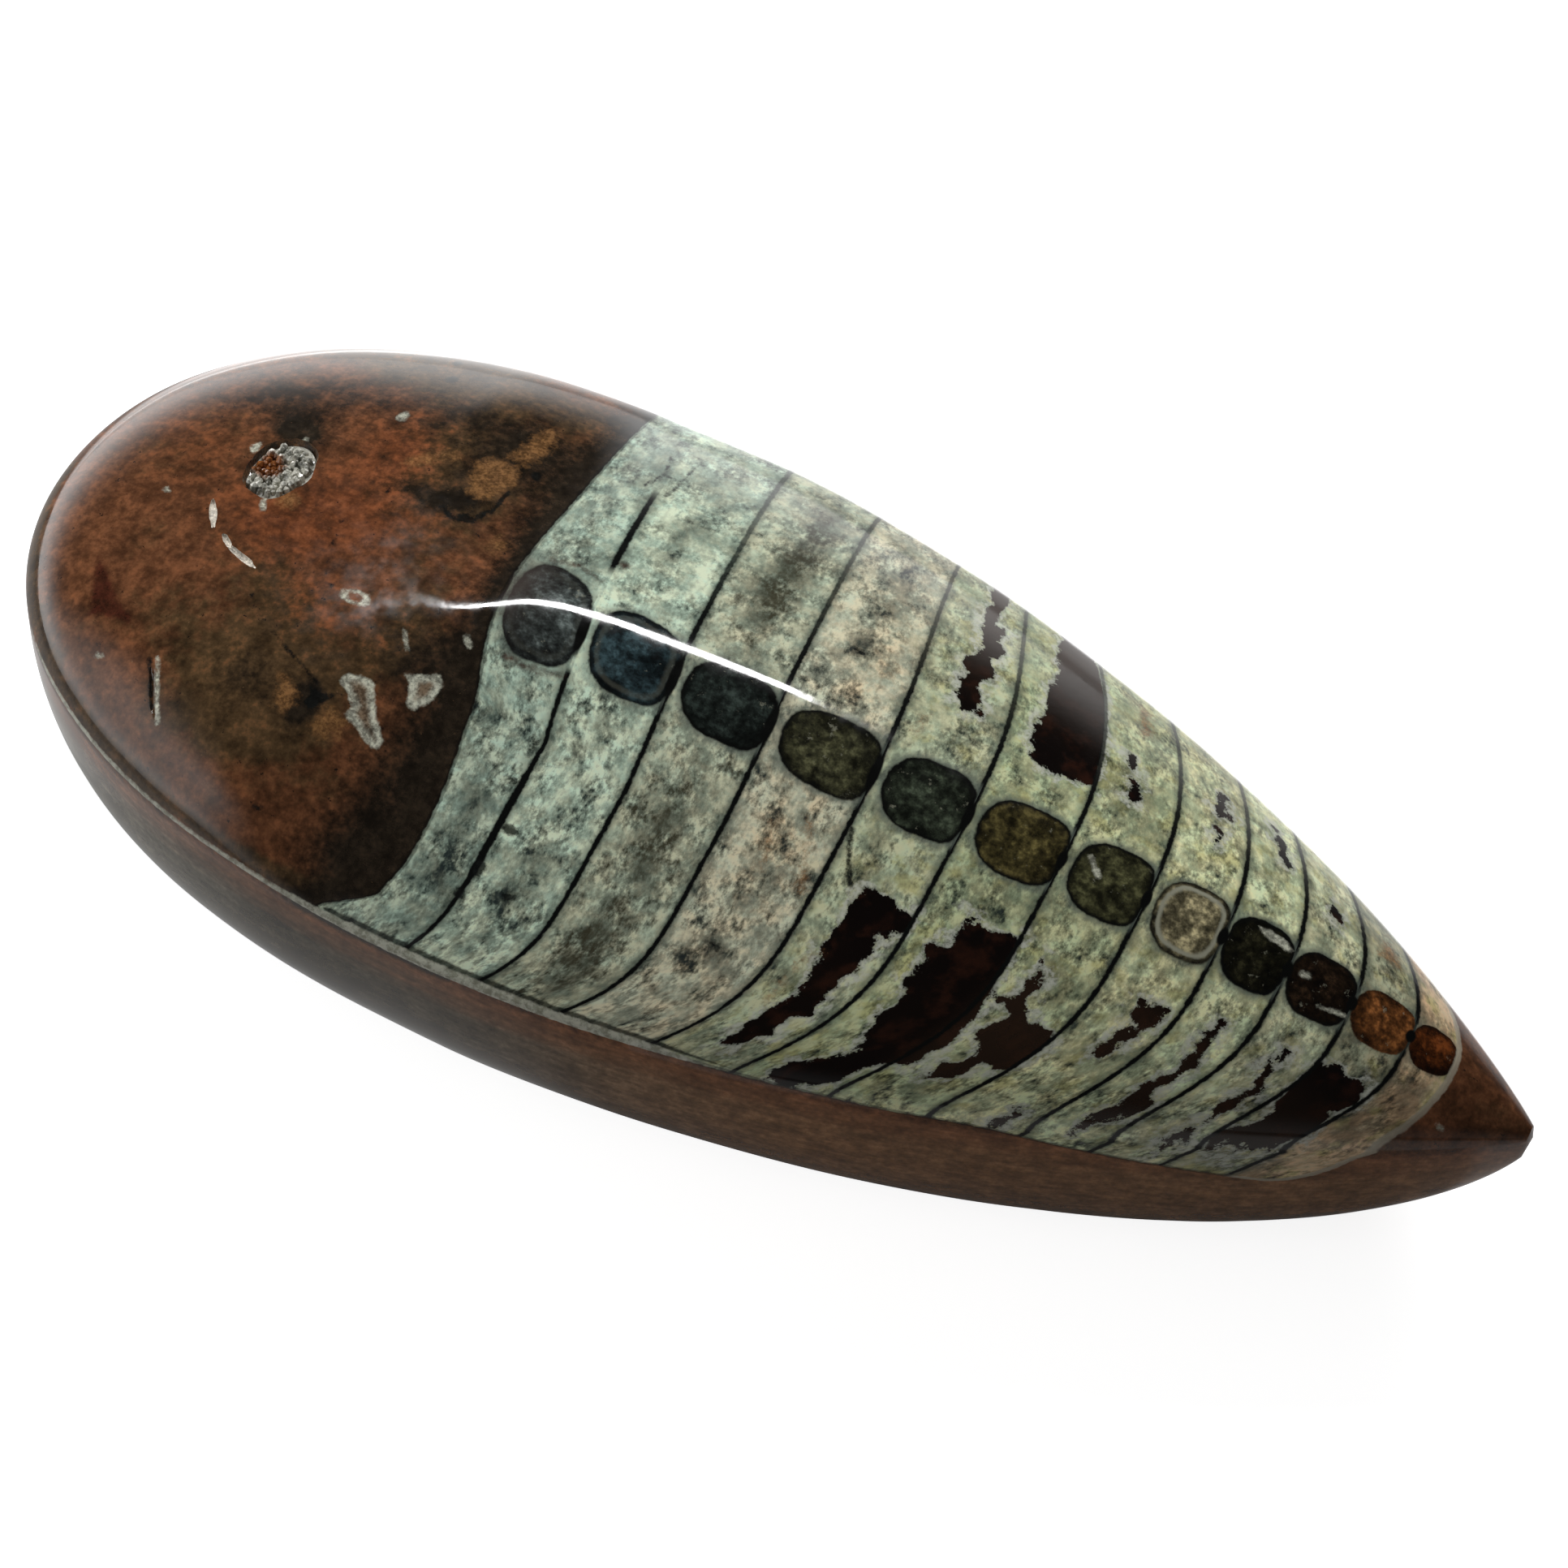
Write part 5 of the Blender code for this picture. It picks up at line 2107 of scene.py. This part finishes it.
@dataclass(frozen=True)
class Studio:
    """The pale floor, the soft light and the camera."""

    target: Triple = (0.0, 0.0, 0.019)
    floor_half_size: float = 2.5
    floor_seen: Colour = (0.82, 0.82, 0.82)
    floor_lighting: Colour = (0.5, 0.5, 0.5)
    floor_mirrored_close: Colour = (0.5, 0.5, 0.5)
    floor_mirrored_far: Colour = (0.1, 0.1, 0.1)
    floor_glow_seen: float = 0.86
    floor_glow_close: float = 2.6
    floor_glow_far: float = 0.38
    floor_glow_head: float = 2.0
    floor_glow_near: float = 0.22
    # Headings on the floor, away from the stone.
    off_far_edge: Triple = (0.33, 0.944, 0.0)
    off_head: Triple = (-0.95, 0.3, 0.0)
    off_camera: Triple = (-0.5, 0.866, 0.0)
    off_near_head: Triple = (-0.85, -0.527, 0.0)
    # Where each effect on the floor is 0 and where it is 1, in metres or as a share of a heading.
    mirrored_close_from: Span = (0.3, 0.12)
    head_glow_from: Span = (0.45, 0.85)
    close_glow_ends: Span = (0.075, 0.055)
    close_glow_starts: Span = (0.04, 0.052)
    glow_past_far_edge: Span = (0.0, 0.02)
    glow_past_middle: Span = (-0.04, -0.015)
    near_glow_from: Span = (0.55, 0.95)
    sky_base: float = 0.03
    glows: tuple[Glow, ...] = (
        Glow((-0.5, 0.866, 0.0), (-0.35, 0.9), (-1.0, -0.5, 0.0, 0.25), 0.15),
        Glow((-0.8, 0.6, 0.0), (0.45, 0.92), (-1.0, -0.5, 0.08, 0.38), 2.2),
        Glow((-1.0, 0.0, 0.0), (0.1, 1.0), (-1.0, -0.5, 0.08, 0.46), 1.1),
        Glow((-0.85, -0.5, 0.0), (0.74, 1.0), (-0.05, 0.2, 0.6, 0.85), 1.5),
        Glow((0.3, -0.95, 0.0), (-0.2, 0.9), (-1.0, -0.5, 0.05, 0.5), 0.12),
    )
    viewpoint: Viewpoint = Viewpoint()
    lamps: tuple[Lamp, ...] = (
        Lamp("ridge_light", (-0.316, 0.5315, 0.785), 1.1, 0.22, 0.14, -0.049, 6.0),
        Lamp("far_fill", (-0.3, 0.8, 0.5), 1.2, 0.8, 0.8, 0.0, 5.0, mirrored=False),
    )

    def build(self) -> None:
        """Build the floor, the lights, the sky and the camera."""
        self._floor()
        self._sky()
        for lamp in self.lamps:
            self._lamp(lamp)
        self._camera()
        bpy.context.scene.view_settings.view_transform = "Standard"

    def _floor(self) -> None:
        """Add the floor that the stone lies on."""
        work = bmesh.new()
        bmesh.ops.create_grid(work, x_segments=1, y_segments=1, size=self.floor_half_size)
        mesh = new_mesh("studio_floor", work)
        material, graph, shader = new_material("studio_floor")
        place = graph.node("ShaderNodeNewGeometry").outputs["Position"]
        radius = graph.node("ShaderNodeVectorMath", {0: place}, operation="LENGTH").outputs["Value"]
        path = graph.node("ShaderNodeLightPath")
        seen = path.outputs["Is Camera Ray"]
        mirrored = graph.step(radius, *self.mirrored_close_from)
        mirrored = graph.mix(mirrored, self.floor_mirrored_far, self.floor_mirrored_close)
        other = graph.mix(path.outputs["Is Glossy Ray"], self.floor_lighting, mirrored)
        graph.feed(shader.inputs["Base Color"], graph.mix(seen, other, self.floor_seen))
        graph.feed(shader.inputs["Roughness"], 0.9)
        graph.feed(shader.inputs["Emission Color"], (1.0, 1.0, 1.0))
        headings = (self.off_far_edge, self.off_head, self.off_camera, self.off_near_head)
        far_edge, head, camera, near_head = (graph.dot(place, heading) for heading in headings)
        aside = graph.divided(head, radius)
        aside = graph.step(aside, *self.head_glow_from)
        level = graph.scaled(aside, self.floor_glow_head, self.floor_glow_far)
        close = graph.step(far_edge, *self.close_glow_ends)
        close = graph.times(close, graph.step(far_edge, *self.close_glow_starts))
        level = graph.scaled(close, self.floor_glow_close, level)
        behind = graph.step(far_edge, *self.glow_past_far_edge)
        behind = graph.times(behind, graph.step(camera, *self.glow_past_middle))
        behind = graph.times(behind, level)
        beside = graph.step(graph.divided(near_head, radius), *self.near_glow_from)
        behind = graph.scaled(beside, self.floor_glow_near, behind)
        glossy = graph.times(path.outputs["Is Glossy Ray"], behind)
        lit = graph.scaled(seen, self.floor_glow_seen, glossy)
        graph.feed(shader.inputs["Emission Strength"], lit)
        mesh.materials.append(material)
        new_object("studio_floor", mesh)

    def _sky(self) -> None:
        """Light the scene from all round, with a soft glow or two near the horizon."""
        world = bpy.data.worlds.new("studio_sky")
        world.use_nodes = True
        bpy.context.scene.world = world
        graph = Graph(world.node_tree)
        direction = graph.node("ShaderNodeTexCoord").outputs["Generated"]
        height = graph.axis(direction, "Z")
        level = graph.stretched(direction, (1.0, 1.0, 0.0))
        heading = graph.node("ShaderNodeVectorMath", {0: level}, operation="NORMALIZE").outputs[0]
        total: Socket | float = self.sky_base
        for glow in self.glows:
            sideways = graph.step(graph.dot(heading, glow.heading), *glow.headings_span)
            low, rising, falling, high = glow.heights
            upwards = graph.times(graph.step(height, low, rising), graph.step(height, high, falling))
            share = graph.times(sideways, upwards)
            total = graph.scaled(share, glow.brightness, total)
        graph.feed(world.node_tree.nodes["Background"].inputs["Strength"], total)
        graph.feed(world.node_tree.nodes["Background"].inputs["Color"], (1.0, 1.0, 1.0))

    def _lamp(self, lamp: Lamp) -> None:
        """Add one soft light.

        Args:
            lamp: What the light is like.
        """
        light = bpy.data.lights.new(lamp.name, "AREA")
        light.shape = "RECTANGLE"
        light.size = lamp.length
        light.size_y = lamp.breadth
        light.energy = lamp.power
        placed = new_object(lamp.name, light)
        direction = Vector(lamp.direction).normalized()
        along = Vector((1.0, 0.0, 0.0))
        along = (along - along.project(direction)).normalized()
        origin = Vector(self.target) + direction * lamp.distance + along * lamp.shift
        placed.matrix_world = frame_at(origin, along, direction.cross(along), direction)
        placed.visible_glossy = lamp.mirrored

    def _camera(self) -> None:
        """Add the camera and make it the scene's own."""
        view = self.viewpoint
        azimuth = math.radians(view.azimuth)
        elevation = math.radians(view.elevation)
        roll = math.radians(view.roll)
        right = Vector((math.cos(azimuth), math.sin(azimuth), 0.0))
        back = Vector(
            (
                math.sin(azimuth) * math.cos(elevation),
                -math.cos(azimuth) * math.cos(elevation),
                math.sin(elevation),
            )
        )
        up = back.cross(right)
        rolled_right = right * math.cos(roll) + up * math.sin(roll)
        rolled_up = up * math.cos(roll) - right * math.sin(roll)
        data = bpy.data.cameras.new("camera")
        data.lens = view.lens
        data.sensor_width = view.sensor_width
        camera = new_object("camera", data)
        origin = Vector(self.target) + back * view.distance
        origin += rolled_right * view.shift_right + rolled_up * view.shift_up
        camera.matrix_world = frame_at(origin, rolled_right, rolled_up, back)
        bpy.context.scene.camera = camera


def main() -> None:
    """Build the studio and each piece in order, and report them."""
    logging.basicConfig(level=logging.INFO, format="%(name)s: %(message)s")
    form = StoneForm()
    hollow = Hollow()
    Studio().build()
    LOG.info("studio built")
    effects = Effects()
    stone = PolishedStone(form, Shell(form), hollow)
    nicked = BruiseFinish("nicked_stone", srgb(214, 206, 192), srgb(132, 104, 78), -0.12)
    hollowed = BruiseFinish("hollowed_stone", srgb(120, 84, 52), srgb(52, 42, 32), 0.02)
    piece = stone.build(
        {
            Surface.POLISHED: StoneFinish().make(effects),
            Surface.NICKED: nicked.make(effects),
            Surface.HOLLOWED: hollowed.make(effects),
        }
    )
    LOG.info("%s: %d faces", piece.name, len(piece.data.polygons))
    crust = CrystalCrust(form, hollow).build(effects, CrystalFinish())
    LOG.info("%s: %d faces", crust.name, len(crust.data.polygons))


if __name__ == "__main__":
    main()
